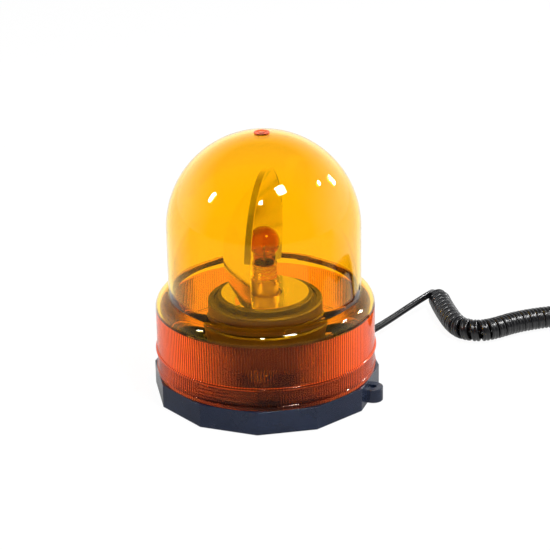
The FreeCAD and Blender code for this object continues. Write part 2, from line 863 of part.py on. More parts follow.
def gear_block(outline, height):
    return Part.Face(outline).extrude(Vector(0, 0, height))


def make_motor():
    """Small flat-sided motor standing on end, its pinion inside the turntable's ring gear."""
    under = d.housing_top - d.housing_plate
    can_bottom = under - d.motor_length
    x, y = polar(gear_distance(), MOTOR_ANGLE)

    def place(body):
        body.Placement = Placement(Vector(x.value, y.value, 0),
                                   Rotation(Vector(0, 0, 1), MOTOR_ANGLE))
        bind(body, "Placement.Base.x", x)
        bind(body, "Placement.Base.y", y)

    can = new_body("motor_can")
    place(can)
    half = math.sqrt(d.motor_radius.value ** 2 - d.motor_flat.value ** 2)
    across = Size(half, "sqrt(dims.motor_radius ^ 2 - dims.motor_flat ^ 2)")
    outline = [
        (d.motor_flat, -across), (d.motor_flat, across, d.motor_radius),
        (-d.motor_flat, across), (-d.motor_flat, -across, d.motor_radius),
    ]
    pad(can, draw_loop(new_sketch(can, "XY_Plane", can_bottom), outline), d.motor_length)
    nose = draw_circle(new_sketch(can, "XY_Plane", under), d.motor_nose_radius)
    pad(can, nose, d.motor_nose_height)
    bore = draw_circle(new_sketch(can, "XY_Plane", under + d.motor_nose_height),
                       d.shaft_radius + d.run_gap)
    pocket(can, bore, d.motor_nose_height + d.shaft_depth + 0.3)
    taps = new_sketch(can, "XY_Plane", under)
    for side in (-1, 1):
        draw_circle(taps, d.small_screw_radius, 0, d.motor_screw_offset * side)
    pocket(can, taps, 2.5)

    end = new_body("motor_end_cap")
    place(end)
    pad(end, draw_loop(new_sketch(end, "XY_Plane", can_bottom), outline), d.motor_cap_height, down=True)
    slots = new_sketch(end, "XY_Plane", can_bottom - d.motor_cap_height)
    for side in (-1, 1):
        middle = d.motor_flat * (side * 0.6)
        draw_loop(slots, rectangle(middle - d.terminal_thickness / 2, middle + d.terminal_thickness / 2,
                                   -d.terminal_width / 2, d.terminal_width / 2))
    pocket(end, slots, d.motor_cap_height / 2, up=True)

    tabs = new_body("motor_terminals")
    place(tabs)
    tab_length = d.terminal_length + d.motor_cap_height / 2
    for side in (-1, 1):
        middle = d.motor_flat * (side * 0.6)
        sketch = new_sketch(tabs, "XY_Plane", can_bottom - d.motor_cap_height / 2)
        draw_loop(sketch, rectangle(middle - d.terminal_thickness / 2,
                                    middle + d.terminal_thickness / 2,
                                    -d.terminal_width / 2, d.terminal_width / 2))
        feature = pad(tabs, sketch, tab_length, down=True)
        feature.AllowMultiFace = True

    screws = []
    for side in (-1, 1):
        screw_x, screw_y = motor_screw_place(side)
        screws.append(upright_screw(
            d.small_screw_radius, d.housing_plate + 2, d.small_head_radius, d.small_head_height,
            d.housing_top, screw_x, screw_y))
    keep(compound(screws), "motor_screws")

    shaft_bottom = under + d.motor_nose_height - d.shaft_depth - d.motor_nose_height
    pinion_top = d.pinion_bottom + d.pinion_height
    shaft = cylinder(d.shaft_radius, pinion_top - shaft_bottom, shaft_bottom, x, y)
    keep(shaft, "motor_shaft")
    pitch = d.pinion_teeth * d.gear_module / 2
    tip = pitch + d.gear_module * d.gear_addendum
    root = pitch - d.gear_module * d.gear_dedendum
    outline = gear_outline(int(d.pinion_teeth.value), d.gear_module.value, tip.value, root.value,
                           -d.gear_backlash.value / 2, 0.0)
    block = gear_block(outline, d.pinion_height.value)
    bore = Part.makeCylinder(d.shaft_radius.value, d.pinion_height.value)
    pinion = shape_piece("motor_pinion", block.cut(bore))
    pinion.Placement = Placement(Vector(x.value, y.value, d.pinion_bottom.value),
                                 Rotation(Vector(0, 0, 1), MOTOR_ANGLE))


# ---------------------------------------------------------------- turntable and bush

def make_turntable():
    """Drum with an internal ring gear, a raised platform and a bushed hub."""
    drum = new_body("drum_blank")
    pieces.remove(drum)
    under_plate = d.drum_top - d.drum_plate
    gear_root = ring_gear_root()
    revolve(drum, [
        (gear_root, d.drum_bottom), (d.drum_radius, d.drum_bottom),
        (d.drum_radius, d.drum_top - 0.8), (d.drum_radius - 0.8, d.drum_top),
        (d.recess_outer, d.drum_top), (d.recess_outer, d.drum_top - d.recess_depth),
        (d.platform_radius, d.drum_top - d.recess_depth),
        (d.platform_radius, d.platform_top - 0.6), (d.platform_radius - 0.6, d.platform_top),
        (d.clip_room, d.platform_top), (d.clip_room, d.bush_top), (d.bush_radius, d.bush_top),
        (d.bush_radius, d.drum_bottom), (d.hub_radius, d.drum_bottom),
        (d.hub_radius, under_plate), (gear_root, under_plate),
    ])
    holes = new_sketch(drum, "XY_Plane", d.platform_top)
    for side in (-1, 1):
        x, y = reflector_boss_place(side)
        draw_circle(holes, d.reflector_boss_radius + 0.1, x, y)
    pocket(drum, holes, d.reflector_boss_drop)
    shanks = new_sketch(drum, "XY_Plane", d.platform_top)
    for side in (-1, 1):
        x, y = reflector_boss_place(side)
        draw_circle(shanks, d.small_screw_radius, x, y)
    pocket(drum, shanks, d.platform_top - under_plate)
    teeth = doc.addObject("Part::Feature", "ring_teeth")
    pitch = d.ring_teeth * d.gear_module / 2
    tip = pitch + d.gear_module * d.gear_dedendum + d.ring_root_gap
    root = pitch - d.gear_module * d.gear_addendum
    height = (under_plate - d.drum_bottom).value
    hollow = gear_outline(int(d.ring_teeth.value), d.gear_module.value, tip.value, root.value,
                          d.gear_backlash.value / 2, 0.0)
    blank = Part.makeCylinder(gear_root.value + 0.4, height)
    teeth.Shape = blank.cut(gear_block(hollow, height))
    teeth.Placement = Placement(Vector(0, 0, d.drum_bottom.value),
                                Rotation(Vector(0, 0, 1), MOTOR_ANGLE))
    turntable = fused([drum, teeth])
    keep(turntable, "turntable")
    ring("hub_bush", d.post_radius + d.run_gap, d.bush_radius,
         d.housing_top + d.thrust_thickness + d.run_gap, d.bush_top)


def ring_gear_root():
    pitch = d.ring_teeth * d.gear_module / 2
    return pitch + d.gear_module * d.gear_dedendum + d.ring_root_gap + 0.01


def reflector_boss_place(side):
    """Where one of the reflector's two screw bosses drops into the platform."""
    return polar(d.reflector_boss_circle, REFLECTOR_ANGLE + side * 90)


# ---------------------------------------------------------------- reflector

def make_reflector():
    """Parabolic dish cut flat at the bottom, its lip, and the disc that it stands on.

    It is drawn facing +X with the bulb's filament at the focus, then turned to its
    parked direction.
    """
    focal = d.reflector_focal.value
    front = d.reflector_front.value
    wall = d.reflector_wall.value
    level = d.reflector_height.value
    cut_height = d.reflector_cut.value
    axis = Vector(1, 0, 0)

    def rim_radius(apex):
        """Radius at the front plane of the parabola with that apex."""
        return math.sqrt(4 * focal * (front - apex))

    def parabola(apex):
        """Half of the dish's section, from its apex to the front plane."""
        reach = rim_radius(apex)
        curve = Part.BezierCurve()
        curve.setPoles([Vector(apex, 0, 0), Vector(apex, 0, reach / 2), Vector(front, 0, reach)])
        return curve.toShape()

    inside = parabola(-focal)
    outside = parabola(-focal - wall)
    section = Part.Wire([
        inside, Part.makeLine(Vector(front, 0, rim_radius(-focal)),
                              Vector(front, 0, rim_radius(-focal - wall))),
        outside, Part.makeLine(Vector(-focal - wall, 0, 0), Vector(-focal, 0, 0)),
    ])
    shell = Part.Face(section).revolve(Vector(), axis, 360)
    lip_reach = d.reflector_lip_depth.value + 0.3
    lip_start = Vector(front - d.reflector_lip_depth.value, 0, 0)
    lip = Part.makeCylinder(rim_radius(-focal - wall) + 0.4, lip_reach, lip_start, axis)
    lip = lip.cut(Part.makeCylinder(rim_radius(-focal) + 0.2, lip_reach, lip_start, axis))
    half_space = Vector(-100, -100, d.reflector_lip_start.value - level - 200)
    lip = lip.cut(Part.makeBox(200, 200, 200, half_space))
    shell = shell.cut(Part.makeBox(200, 200, 200, Vector(-100, -100, cut_height - level - 200)))
    shell = shell.fuse(lip)
    shell.translate(Vector(0, 0, level))
    # curved foot wall that follows the dish's lower edge down to the disc
    plate_top = d.platform_top.value + d.plate_thickness.value
    foot_bottom = plate_top - 0.3
    foot_height = cut_height + 0.8 - foot_bottom
    bend = 2 * focal
    bend_centre = Vector(-focal + (level - cut_height) ** 2 / (4 * focal) + bend, 0, foot_bottom)
    foot = Part.makeCylinder(bend + d.foot_wall.value + wall / 2, foot_height, bend_centre)
    foot = foot.cut(Part.makeCylinder(bend - wall / 2, foot_height, bend_centre))
    half = d.plate_radius.value - 3.0
    foot = foot.common(Part.makeBox(40, 2 * half, 100, Vector(-40, -half, 0)))
    plate = Part.makeCylinder(d.plate_radius.value, d.plate_thickness.value,
                              Vector(0, 0, d.platform_top.value))
    plate = plate.cut(Part.makeCylinder(d.plate_bore.value, 10,
                                        Vector(0, 0, d.platform_top.value - 5)))
    whole = shell.fuse(foot).fuse(plate)
    for side in (-1, 1):
        y = side * d.reflector_boss_circle.value
        boss = Part.makeCylinder(d.reflector_boss_radius.value, d.reflector_boss_drop.value + 0.3,
                                 Vector(0, y, d.platform_top.value - d.reflector_boss_drop.value))
        pilot = Part.makeCylinder(d.small_screw_radius.value, d.reflector_boss_drop.value,
                                  Vector(0, y, d.platform_top.value - d.reflector_boss_drop.value))
        whole = whole.fuse(boss).cut(pilot)
    reflector = shape_piece("reflector", whole)
    turn(reflector, REFLECTOR_ANGLE)
    screws = []
    under_plate = d.drum_top - d.drum_plate
    for side in (-1, 1):
        x, y = reflector_boss_place(side)
        screws.append(upright_screw(
            d.small_screw_radius, d.platform_top - under_plate - 0.4,
            d.small_head_radius, d.small_head_height,
            under_plate - d.small_head_height, x, y, head_up=False))
    keep(compound(screws), "reflector_screws")


# ---------------------------------------------------------------- bulb and holder

def make_bulb_holder():
    """Bayonet holder: a tube with two J slots, its insulator, spring and plunger."""
    tube = new_body("bulb_holder")
    revolve(tube, [
        (d.insulator_bore, d.post_seat), (d.holder_radius, d.post_seat),
        (d.holder_radius, d.holder_top - 0.5), (d.holder_radius - 0.25, d.holder_top),
        (d.holder_bore, d.holder_top), (d.holder_bore, d.holder_seat),
        (d.insulator_bore, d.holder_seat),
    ])
    half = d.slot_width / 2
    middle = d.pin_height
    for turn_angle in (PIN_ANGLE, PIN_ANGLE + 180):
        slot = side_sketch(tube, turn_angle)
        draw_loop(slot, [
            (-half, middle - half), (half * 4, middle - half), (half * 4, d.holder_top + 1),
            (half * 2, d.holder_top + 1), (half * 2, middle + half), (-half, middle + half),
        ])
        pocket(tube, slot, d.holder_radius + 1, up=True)
    seat = d.holder_seat
    ring("holder_insulator", d.plunger_stem + d.plunger_gap, d.holder_bore, seat,
         seat + d.insulator_height)
    contact_bottom = d.cap_bottom - d.contact_drop
    flange_top = contact_bottom - 0.05
    turned("contact_plunger", [
        (0, d.holder_seat - 4), (d.plunger_stem, d.holder_seat - 4),
        (d.plunger_stem, flange_top - 1.2), (d.plunger_radius, flange_top - 1.2),
        (d.plunger_radius, flange_top), (0, flange_top),
    ])
    spring_bottom = seat + d.insulator_height
    spring_top = flange_top - 1.2
    spring = make_spring("contact_spring", spring_top - spring_bottom, 4)
    bind(spring, "Placement.Base.z", spring_bottom)


def make_spring(label, length, turns):
    """A coil spring that stands on the XY plane and just fits between two flat seats."""
    wire = d.spring_wire.value
    height = length.value - 2 * wire
    helix = Part.makeHelix(height / turns, height, d.spring_radius.value)
    start = helix.Vertexes[0].Point
    section = Part.Wire([Part.makeCircle(wire, start, Vector(0, 1, 0))])
    shape = Part.Wire(helix.Edges).makePipeShell([section], True, True)
    shape.translate(Vector(0, 0, wire))
    return shape_piece(label, Part.makeCompound([shape]))


def make_bulb():
    """Bayonet-cap bulb: metal cap with two pins, glass globe, and a filament on two wires."""
    cap = new_body("bulb_cap")
    revolve(cap, [
        (0, d.cap_bottom), (d.cap_radius - 1.2, d.cap_bottom),
        (d.cap_radius, d.cap_bottom + 1.2), (d.cap_radius, d.cap_top),
        (d.glass_neck_radius, d.cap_top), (d.glass_neck_radius, d.cap_bottom + 4),
        (0, d.cap_bottom + 4),
    ])
    for angle in (PIN_ANGLE, PIN_ANGLE + 180):
        pin = side_sketch(cap, angle, d.glass_neck_radius + 0.2)
        draw_circle(pin, d.pin_radius, 0, d.pin_height)
        pad(cap, pin, d.pin_reach - d.glass_neck_radius - 0.2)
    turned("bulb_contact", [
        (0, d.cap_bottom - d.contact_drop), (d.contact_radius - 0.6, d.cap_bottom - d.contact_drop),
        (d.contact_radius, d.cap_bottom), (0, d.cap_bottom),
    ])
    neck = d.glass_neck_radius
    inner_neck = neck - d.glass_wall
    globe_in = d.globe_radius - d.glass_wall
    join = d.globe_centre - Size(
        math.sqrt(d.globe_radius.value ** 2 - neck.value ** 2),
        "sqrt(dims.globe_radius ^ 2 - dims.glass_neck_radius ^ 2)")
    join_in = d.globe_centre - Size(
        math.sqrt(globe_in.value ** 2 - inner_neck.value ** 2),
        "sqrt(%s ^ 2 - %s ^ 2)" % (globe_in.text, inner_neck.text))
    foot = d.cap_bottom + 4
    turned("bulb_glass", [
        (0, foot), (neck, foot), (neck, join, d.globe_radius), (d.globe_radius, d.globe_centre,
                                                                d.globe_radius),
        (0, d.globe_centre + d.globe_radius),
        (0, d.globe_centre + globe_in, -globe_in), (globe_in, d.globe_centre, -globe_in),
        (inner_neck, join_in), (inner_neck, foot + 14), (0, foot + 14),
    ])
    stem_top = foot + 14
    wire_height = d.filament_height - stem_top
    ends = []
    for side in (-1, 1):
        ends.append(cylinder(d.support_radius, wire_height, stem_top, 0, d.filament_length * (side * 0.5)))
    keep(compound(ends), "filament_supports")
    bar = doc.addObject("Part::Cylinder", "bar")
    bind(bar, "Radius", d.filament_radius)
    bind(bar, "Height", d.filament_length)
    bar.Placement = Placement(Vector(), Rotation(Vector(1, 0, 0), -90))
    bind(bar, "Placement.Base.y", -(d.filament_length / 2))
    bind(bar, "Placement.Base.z", d.filament_height + d.filament_radius)
    keep(bar, "filament")


# ---------------------------------------------------------------- cord

# Route of the straight part of the cord: where each run starts and ends.
LEAD_POINTS = [(41.7, 41.7, 7.2), (57.0, 57.0, 7.2), (96.1, 114.0, 12.0)]

# Route of the curly part, along its middle line on the floor.
COIL_POINTS = [
    (101.5, 131.0), (106.9, 102.5), (114.6, 75.1), (123.9, 68.9), (134.8, 69.8), (156.1, 86.4),
    (190.0, 97.4), (222.0, 90.0), (238.0, 56.0), (240.0, 16.0), (236.0, -20.0),
]

# Route of the straight end that runs from the curly part into the plug.
TAIL_POINTS = [(236.0, -20.0, 7.05), (234.667, -32.0, 7.05), (230.145, -49.386, 12.1), (227.0, -62.0, 12.1)]

# Which way the plug points, in degrees about +Z.
PLUG_HEADING = -104.0


def rounded_path(points):
    """Straight runs joined by tangent arcs, and the radius of each arc."""
    points = [Vector(*point) for point in points]
    edges = []
    radii = []
    start = points[0]
    for before, corner, after in zip(points, points[1:], points[2:]):
        into = (corner - before).normalize()
        out = (after - corner).normalize()
        half_turn = into.getAngle(out) / 2.0
        shorter = min((corner - before).Length, (after - corner).Length)
        setback = 0.45 * shorter
        radii.append(setback / math.tan(half_turn))
        enter = corner - into * setback
        leave = corner + out * setback
        bisector = (out - into).normalize()
        centre = corner + bisector * (radii[-1] / math.cos(half_turn))
        middle = centre - bisector * radii[-1]
        edges.append(Part.LineSegment(start, enter).toShape())
        edges.append(Part.Arc(enter, middle, leave).toShape())
        start = leave
    edges.append(Part.LineSegment(start, points[-1]).toShape())
    return Part.Wire(edges), radii


def swept_tube(label, points, radius):
    """A round tube along a route of runs and arcs."""
    path, radii = rounded_path(points)
    start = path.Edges[0].Vertexes[0].Point
    direction = path.Edges[0].tangentAt(path.Edges[0].FirstParameter)
    section = Part.Wire([Part.makeCircle(radius.value, start, direction)])
    solid = path.makePipeShell([section], True, False)
    expected = math.pi * radius.value ** 2 * path.Length
    print("%s: length %.1f, volume ratio %.4f, arc radii %s" % (
        label, path.Length, solid.Volume / expected, ["%.1f" % r for r in radii]))
    return shape_piece(label, solid)


def make_cord():
    swept_tube("cord_lead", LEAD_POINTS, d.cord_radius)
    level = (d.coil_radius + d.floor_gap).value
    swept_tube("cord_coil", [point + (level,) for point in COIL_POINTS], d.coil_radius)
    swept_tube("cord_tail", TAIL_POINTS, d.cord_radius)


def make_grommet():
    """Rubber grommet in the flat side: inner flange, neck in the hole, tapered nose."""
    flat = flat_distance()
    inner = flat - d.base_wall - d.grommet_flange
    bore = d.cord_radius + d.run_gap
    body = turned("cord_grommet", [
        (bore, inner), (d.grommet_radius, inner),
        (d.grommet_radius, flat - d.base_wall), (d.grommet_neck, flat - d.base_wall),
        (d.grommet_neck, flat), (d.grommet_radius, flat),
        (d.grommet_radius - 0.4, flat + d.grommet_flange),
        (d.cord_radius + 0.9, flat + d.grommet_flange + d.grommet_nose),
        (bore, flat + d.grommet_flange + d.grommet_nose),
    ])
    facing = Rotation(Vector(0, 0, 1), CORD_ANGLE) * Rotation(Vector(0, 1, 0), 90)
    body.Placement = Placement(Vector(), facing)
    bind(body, "Placement.Base.z", d.cord_exit_height)


# ---------------------------------------------------------------- plug

def lay_down(piece, along=0.0):
    """Lay a piece that was drawn upright along the plug's axis; its X axis stays level."""
    heading = math.radians(PLUG_HEADING)
    start = Vector(TAIL_POINTS[-1][0], TAIL_POINTS[-1][1], 0)
    start += Vector(math.cos(heading), math.sin(heading), 0) * along
    up = Vector(0, 0, 1)
    facing = Rotation(up, PLUG_HEADING) * Rotation(Vector(0, 1, 0), 90) * Rotation(up, 90)
    piece.Placement = Placement(start, facing)
    bind(piece, "Placement.Base.z", d.plug_axis_height)


def make_plug():
    """12 V socket plug: moulded body, screwed nose ring, sprung tip, fuse, side contacts."""
    neck = d.plug_neck_length
    grip = neck + d.plug_grip_length
    barrel = grip + d.plug_barrel_length
    nose = barrel + d.nose_ring_length
    mouth = nose - 1.5
    flange = 1.6
    spring_top = mouth - flange - d.run_gap
    fuse_top = spring_top - d.tip_travel - 4.0

    relief = turned("plug_strain_relief", [
        (0, 0), (d.plug_neck_radius - 1.6, 0), (d.plug_neck_radius, neck), (0, neck),
    ])
    lay_down(relief)

    body = new_body("plug_body")
    revolve(body, [
        (0, neck), (d.plug_neck_radius + 2.0, neck),
        (d.plug_grip_radius, neck + 7),
        *grip_grooves(neck + 7 + d.grip_groove_width),
        (d.plug_grip_radius, grip - 3),
        (d.plug_barrel_radius, grip), (d.plug_barrel_radius, barrel - 1),
        (d.plug_barrel_radius - 1.0, barrel), (d.plug_bore, barrel),
        (d.plug_bore, fuse_top - 2), (d.fuse_radius + 0.1, fuse_top - 2),
        (d.fuse_radius + 0.1, fuse_top - d.fuse_length), (0, fuse_top - d.fuse_length),
    ])
    window = new_sketch(body, "XY_Plane", barrel - 8)
    inner = d.plug_barrel_radius - 2.6
    half = d.side_contact_width / 2 + 0.3
    for side in (-1, 1):
        low, high = (inner, d.plug_barrel_radius + 2) if side > 0 else (
            -(d.plug_barrel_radius + 2), -inner)
        draw_loop(window, rectangle(low, high, -half, half))
    pocket(body, window, d.side_contact_length + 0.6)
    lay_down(body)

    ring_piece = turned("plug_nose_ring", [
        (d.nose_ring_bore, nose - 1.5), (d.nose_ring_bore, nose),
        (d.plug_barrel_radius - 2.5, nose), (d.plug_barrel_radius - 1.0, barrel),
        (d.plug_bore, barrel), (d.plug_bore, nose - 1.5),
    ])
    lay_down(ring_piece)

    # the tip's flange rests behind the nose ring's mouth and can be pushed back
    tip = turned("plug_tip", [
        (0, mouth - flange), (d.plug_bore - 0.15, mouth - flange), (d.plug_bore - 0.15, mouth - d.run_gap),
        (d.tip_radius, mouth - d.run_gap), (d.tip_radius, nose + d.tip_reach - 2),
        (d.tip_radius - 1.8, nose + d.tip_reach), (0, nose + d.tip_reach),
    ])
    lay_down(tip)

    fuse = turned("plug_fuse", [
        (0, fuse_top - d.fuse_length), (d.fuse_radius, fuse_top - d.fuse_length),
        (d.fuse_radius, fuse_top), (0, fuse_top),
    ])
    lay_down(fuse)
    spring = make_spring("plug_spring", spring_top - fuse_top, 5)
    lay_down(spring, fuse_top.value)

    for side, label in ((1, "plug_side_contact_left"), (-1, "plug_side_contact_right")):
        make_side_contact(label, side, barrel - 8.3, inner)


def grip_grooves(start):
    """Outline corners of the finger grooves round the plug's grip, from start upwards."""
    corners = []
    for index in range(GRIP_GROOVES):
        low = start + d.grip_groove_width * (2.2 * index)
        floor = d.plug_grip_radius - d.grip_groove_depth
        corners += [(d.plug_grip_radius, low), (floor, low + d.grip_groove_width / 4),
                    (floor, low + d.grip_groove_width * 0.75),
                    (d.plug_grip_radius, low + d.grip_groove_width)]
    return corners


def make_side_contact(label, side, top, inner):
    """Bowed spring strip in a side window of the plug's barrel."""
    body = new_body(label)
    thick = d.side_contact_thickness
    low = top - d.side_contact_length
    middle = top - d.side_contact_length / 2
    peak = d.plug_barrel_radius + d.side_contact_reach
    seat = inner + d.plug_side_travel
    sketch = new_sketch(body, "XZ_Plane")
    corners = [(seat, low), (peak, middle - 3), (peak, middle + 3), (seat, top),
               (seat, top - thick * 1.4), (peak - thick, middle + 3 - thick * 0.4),
               (peak - thick, middle - 3 + thick * 0.4), (seat, low + thick * 1.4)]
    draw_loop(sketch, [(x * side, z) for x, z in corners])
    feature = pad(body, sketch, d.side_contact_width)
    feature.Midplane = True
    lay_down(body)


# ---------------------------------------------------------------- build and export

def check_objects():
    """Stop if any object failed, or any sub-part's shape is missing or broken."""
    for item in doc.Objects:
        if "Invalid" in item.State or "Error" in item.State:
            raise RuntimeError("%s (%s) failed: %s" % (item.Name, item.Label, item.State))
    for piece in pieces:
        if piece.Shape.isNull() or not piece.Shape.isValid() or not piece.Shape.Solids:
            raise RuntimeError("%s has no valid solid" % piece.Label)


def export_pieces():
    os.makedirs("parts", exist_ok=True)
    for piece in pieces:
        piece.Shape.exportStep(os.path.join("parts", piece.Label + ".step"))
    print("%d nodes written" % len(pieces))


make_magnet()
make_base_pan()
make_seal()
make_lens()
make_housing()
make_post()
make_motor()
make_turntable()
make_reflector()
make_bulb_holder()
make_bulb()
make_grommet()
make_cord()
make_plug()
doc.recompute()
check_objects()
export_pieces()
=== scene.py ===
import bisect
import math

import bmesh
import bpy
from mathutils import Matrix, Vector


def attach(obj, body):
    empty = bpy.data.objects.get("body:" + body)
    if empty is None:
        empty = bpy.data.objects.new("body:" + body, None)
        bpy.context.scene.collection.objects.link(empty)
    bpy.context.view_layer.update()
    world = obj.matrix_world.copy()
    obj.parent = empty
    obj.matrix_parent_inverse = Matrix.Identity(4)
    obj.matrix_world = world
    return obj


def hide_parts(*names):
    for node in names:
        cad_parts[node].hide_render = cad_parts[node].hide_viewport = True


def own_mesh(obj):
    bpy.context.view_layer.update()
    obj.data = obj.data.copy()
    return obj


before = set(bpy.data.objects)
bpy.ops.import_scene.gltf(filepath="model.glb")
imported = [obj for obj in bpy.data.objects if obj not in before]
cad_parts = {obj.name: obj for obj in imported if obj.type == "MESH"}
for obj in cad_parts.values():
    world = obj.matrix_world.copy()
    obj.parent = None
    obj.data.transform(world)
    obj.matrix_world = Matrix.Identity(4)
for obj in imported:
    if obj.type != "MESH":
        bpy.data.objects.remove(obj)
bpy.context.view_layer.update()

MM = 0.001


# ---------------------------------------------------------------- lens sizes (mm, degrees)

LENS_BOTTOM = 15.3
SKIRT_RADIUS = 65.0
SKIRT_WALL = 2.5
LIP_REACH = 0.5
LIP_TOP = 17.7
BEAD_HEIGHT = 28.4
BEAD_RADIUS = 0.9
SHOULDER_START = 54.2
SHOULDER_RADIUS = 8.84
SHOULDER_TOP = 63.04
DOME_RADIUS = 57.0
DOME_CENTRE = 103.0
DOME_WALL = 2.2
GATE_RADIUS = 4.6
GATE_HEIGHT = 0.7
RIBS = 240
RIB_DEPTH = 0.55
SEGMENTS_PER_RIB = 4
LOWER_RIBS = (16.9, 27.5)
UPPER_RIBS = (29.3, 53.4)
GRID_PANEL = (-122.0, -90.0)
GRID_ROWS = 5
CLEAR_PANEL = (-90.0, -78.0)
RIB_RUN_OUT = 0.4
POLE_RADIUS = 0.25
LUG_COUNT = 3
LUG_RADII = (59.9, 63.0)
LUG_HEIGHTS = (19.2, 21.4)
LUG_HALF_ANGLE = 6.0
LUG_STEPS = 6
CREASE_DEGREES = 38


# ---------------------------------------------------------------- camera and stage

CAMERA_DISTANCE = 1.1
CAMERA_AZIMUTH = math.radians(5.2)
CAMERA_ELEVATION = math.radians(22.2)
CAMERA_ROLL = math.radians(-1.2)
TARGET = Vector((0.0, 0.0, 0.080))
LENS_MM = 122.4
SHIFT = (0.0193, -0.0229)


def make_camera():
    data = bpy.data.cameras.new("view_camera")
    data.lens = LENS_MM
    data.sensor_width = 36.0
    data.shift_x, data.shift_y = SHIFT
    camera = bpy.data.objects.new("view_camera", data)
    bpy.context.scene.collection.objects.link(camera)
    back = Vector((math.sin(CAMERA_AZIMUTH) * math.cos(CAMERA_ELEVATION),
                   -math.cos(CAMERA_AZIMUTH) * math.cos(CAMERA_ELEVATION),
                   math.sin(CAMERA_ELEVATION)))
    camera.location = TARGET + back * CAMERA_DISTANCE
    facing = back.to_track_quat("Z", "Y").to_matrix()
    camera.rotation_euler = (facing @ Matrix.Rotation(CAMERA_ROLL, 3, "Z")).to_euler()
    bpy.context.scene.camera = camera


# How bright the room looks in front, seen from inside the lens as well, and behind the object.
ROOM_DARK = 0.05
ROOM_SEEN_INSIDE = 0.3
ROOM_BEHIND = 1.3
ROOM_OVERHEAD = 0.12
ROOM_LIGHT = 0.55
# How bright the backdrop is through the lens, and the floor in a mirrored view of its front.
BACK_LIGHT = 1.2
FLOOR_MIRRORED = 0.16
# Share of plain white in the floor, as seen; the rest is paper that takes the shadow.
FLOOR_GLOW = 0.94
FLOOR_HALF = 3.0
# Lamps: name, place, size and watts. Each shows as one highlight on the dome.
LAMP_AIM = Vector((0.0, 0.0, 0.08))
LAMPS = [
    ("key_lamp", (0.48, -0.528, 1.252), (0.24, 0.24), 16.0),
    ("left_window", (-1.078, -0.271, 0.861), (0.10, 0.24), 7.0),
    ("front_window", (0.018, -0.925, 1.094), (0.09, 0.10), 3.5),
    ("right_window", (1.05, 0.332, 0.867), (0.11, 0.08), 4.0),
    ("back_window", (0.987, 0.763, 0.568), (0.14, 0.16), 5.0),
]


def add_lamp(name, place, size, watts):
    data = bpy.data.lights.new(name, "AREA")
    data.shape = "RECTANGLE"
    data.size, data.size_y = size
    data.energy = watts
    lamp = bpy.data.objects.new(name, data)
    lamp.location = place
    lamp.rotation_euler = (Vector(place) - LAMP_AIM).to_track_quat("Z", "Y").to_euler()
    bpy.context.scene.collection.objects.link(lamp)


def node_tree(owner):
    """The owner's shader nodes, emptied."""
    owner.use_nodes = True
    tree = owner.node_tree
    tree.nodes.clear()
    return tree


def maths(tree, operation, first, second):
    """A Math node over two values, each a socket or a number."""
    node = tree.nodes.new("ShaderNodeMath")
    node.operation = operation
    for socket, value in zip(node.inputs, (first, second)):
        if isinstance(value, (int, float)):
            socket.default_value = value
        else:
            tree.links.new(value, socket)
    return node.outputs[0]


def mix_shaders(tree, share, first, second):
    """The first shader, with the second's share of it a number or a socket."""
    node = tree.nodes.new("ShaderNodeMixShader")
    if isinstance(share, (int, float)):
        node.inputs[0].default_value = share
    else:
        tree.links.new(share, node.inputs[0])
    tree.links.new(first, node.inputs[1])
    tree.links.new(second, node.inputs[2])
    return node.outputs[0]


def coloured(tree, kind, colour):
    """A new shader node of a kind in one colour."""
    node = tree.nodes.new(kind)
    node.inputs["Color"].default_value = (*colour, 1.0)
    return node


def axes(tree, space="Object"):
    """The X, Y and Z sockets of a texture space."""
    place = tree.nodes.new("ShaderNodeTexCoord")
    parts = tree.nodes.new("ShaderNodeSeparateXYZ")
    tree.links.new(place.outputs[space], parts.inputs[0])
    return parts.outputs


def white_for_rays(tree, reflected):
    """1 for camera rays, more through the lens, reflected for mirrored rays, 0 for the rest."""
    path = tree.nodes.new("ShaderNodeLightPath")
    straight = maths(tree, "MAXIMUM", path.outputs["Is Camera Ray"],
                     maths(tree, "MULTIPLY", path.outputs["Is Transmission Ray"], BACK_LIGHT))
    mirrored = maths(tree, "MULTIPLY", path.outputs["Is Glossy Ray"], reflected)
    return maths(tree, "MAXIMUM", straight, mirrored)


def room_brightness(tree):
    """A pale backdrop behind the object, a darker room in front of it and overhead."""
    direction = axes(tree, "Generated")
    path = tree.nodes.new("ShaderNodeLightPath")
    inside = maths(tree, "MULTIPLY", path.outputs["Is Transmission Ray"], ROOM_SEEN_INSIDE)
    behind = spread(tree, direction["Y"], maths(tree, "ADD", inside, ROOM_DARK), ROOM_BEHIND,
                    (-0.45, 0.3))
    overhead = spread(tree, direction["Z"], 1.0, maths(tree, "ADD", inside, ROOM_OVERHEAD),
                      (0.2, 0.7))
    return maths(tree, "MULTIPLY", behind, overhead)


def make_room():
    """White to the camera, a room in mirrored and refracted views, and soft light for the rest."""
    world = bpy.data.worlds.new("studio")
    bpy.context.scene.world = world
    tree = node_tree(world)
    out = tree.nodes.new("ShaderNodeOutputWorld")
    seen = coloured(tree, "ShaderNodeBackground", (1.0, 1.0, 1.0))
    seen.inputs["Strength"].default_value = 1.0
    room = coloured(tree, "ShaderNodeBackground", (0.97, 0.985, 1.0))
    tree.links.new(room_brightness(tree), room.inputs["Strength"])
    lit = coloured(tree, "ShaderNodeBackground", (0.97, 0.98, 1.0))
    lit.inputs["Strength"].default_value = ROOM_LIGHT
    path = tree.nodes.new("ShaderNodeLightPath")
    around = mix_shaders(tree, white_for_rays(tree, 1.0), lit.outputs[0], room.outputs[0])
    whole = mix_shaders(tree, path.outputs["Is Camera Ray"], around, seen.outputs[0])
    tree.links.new(whole, out.inputs["Surface"])


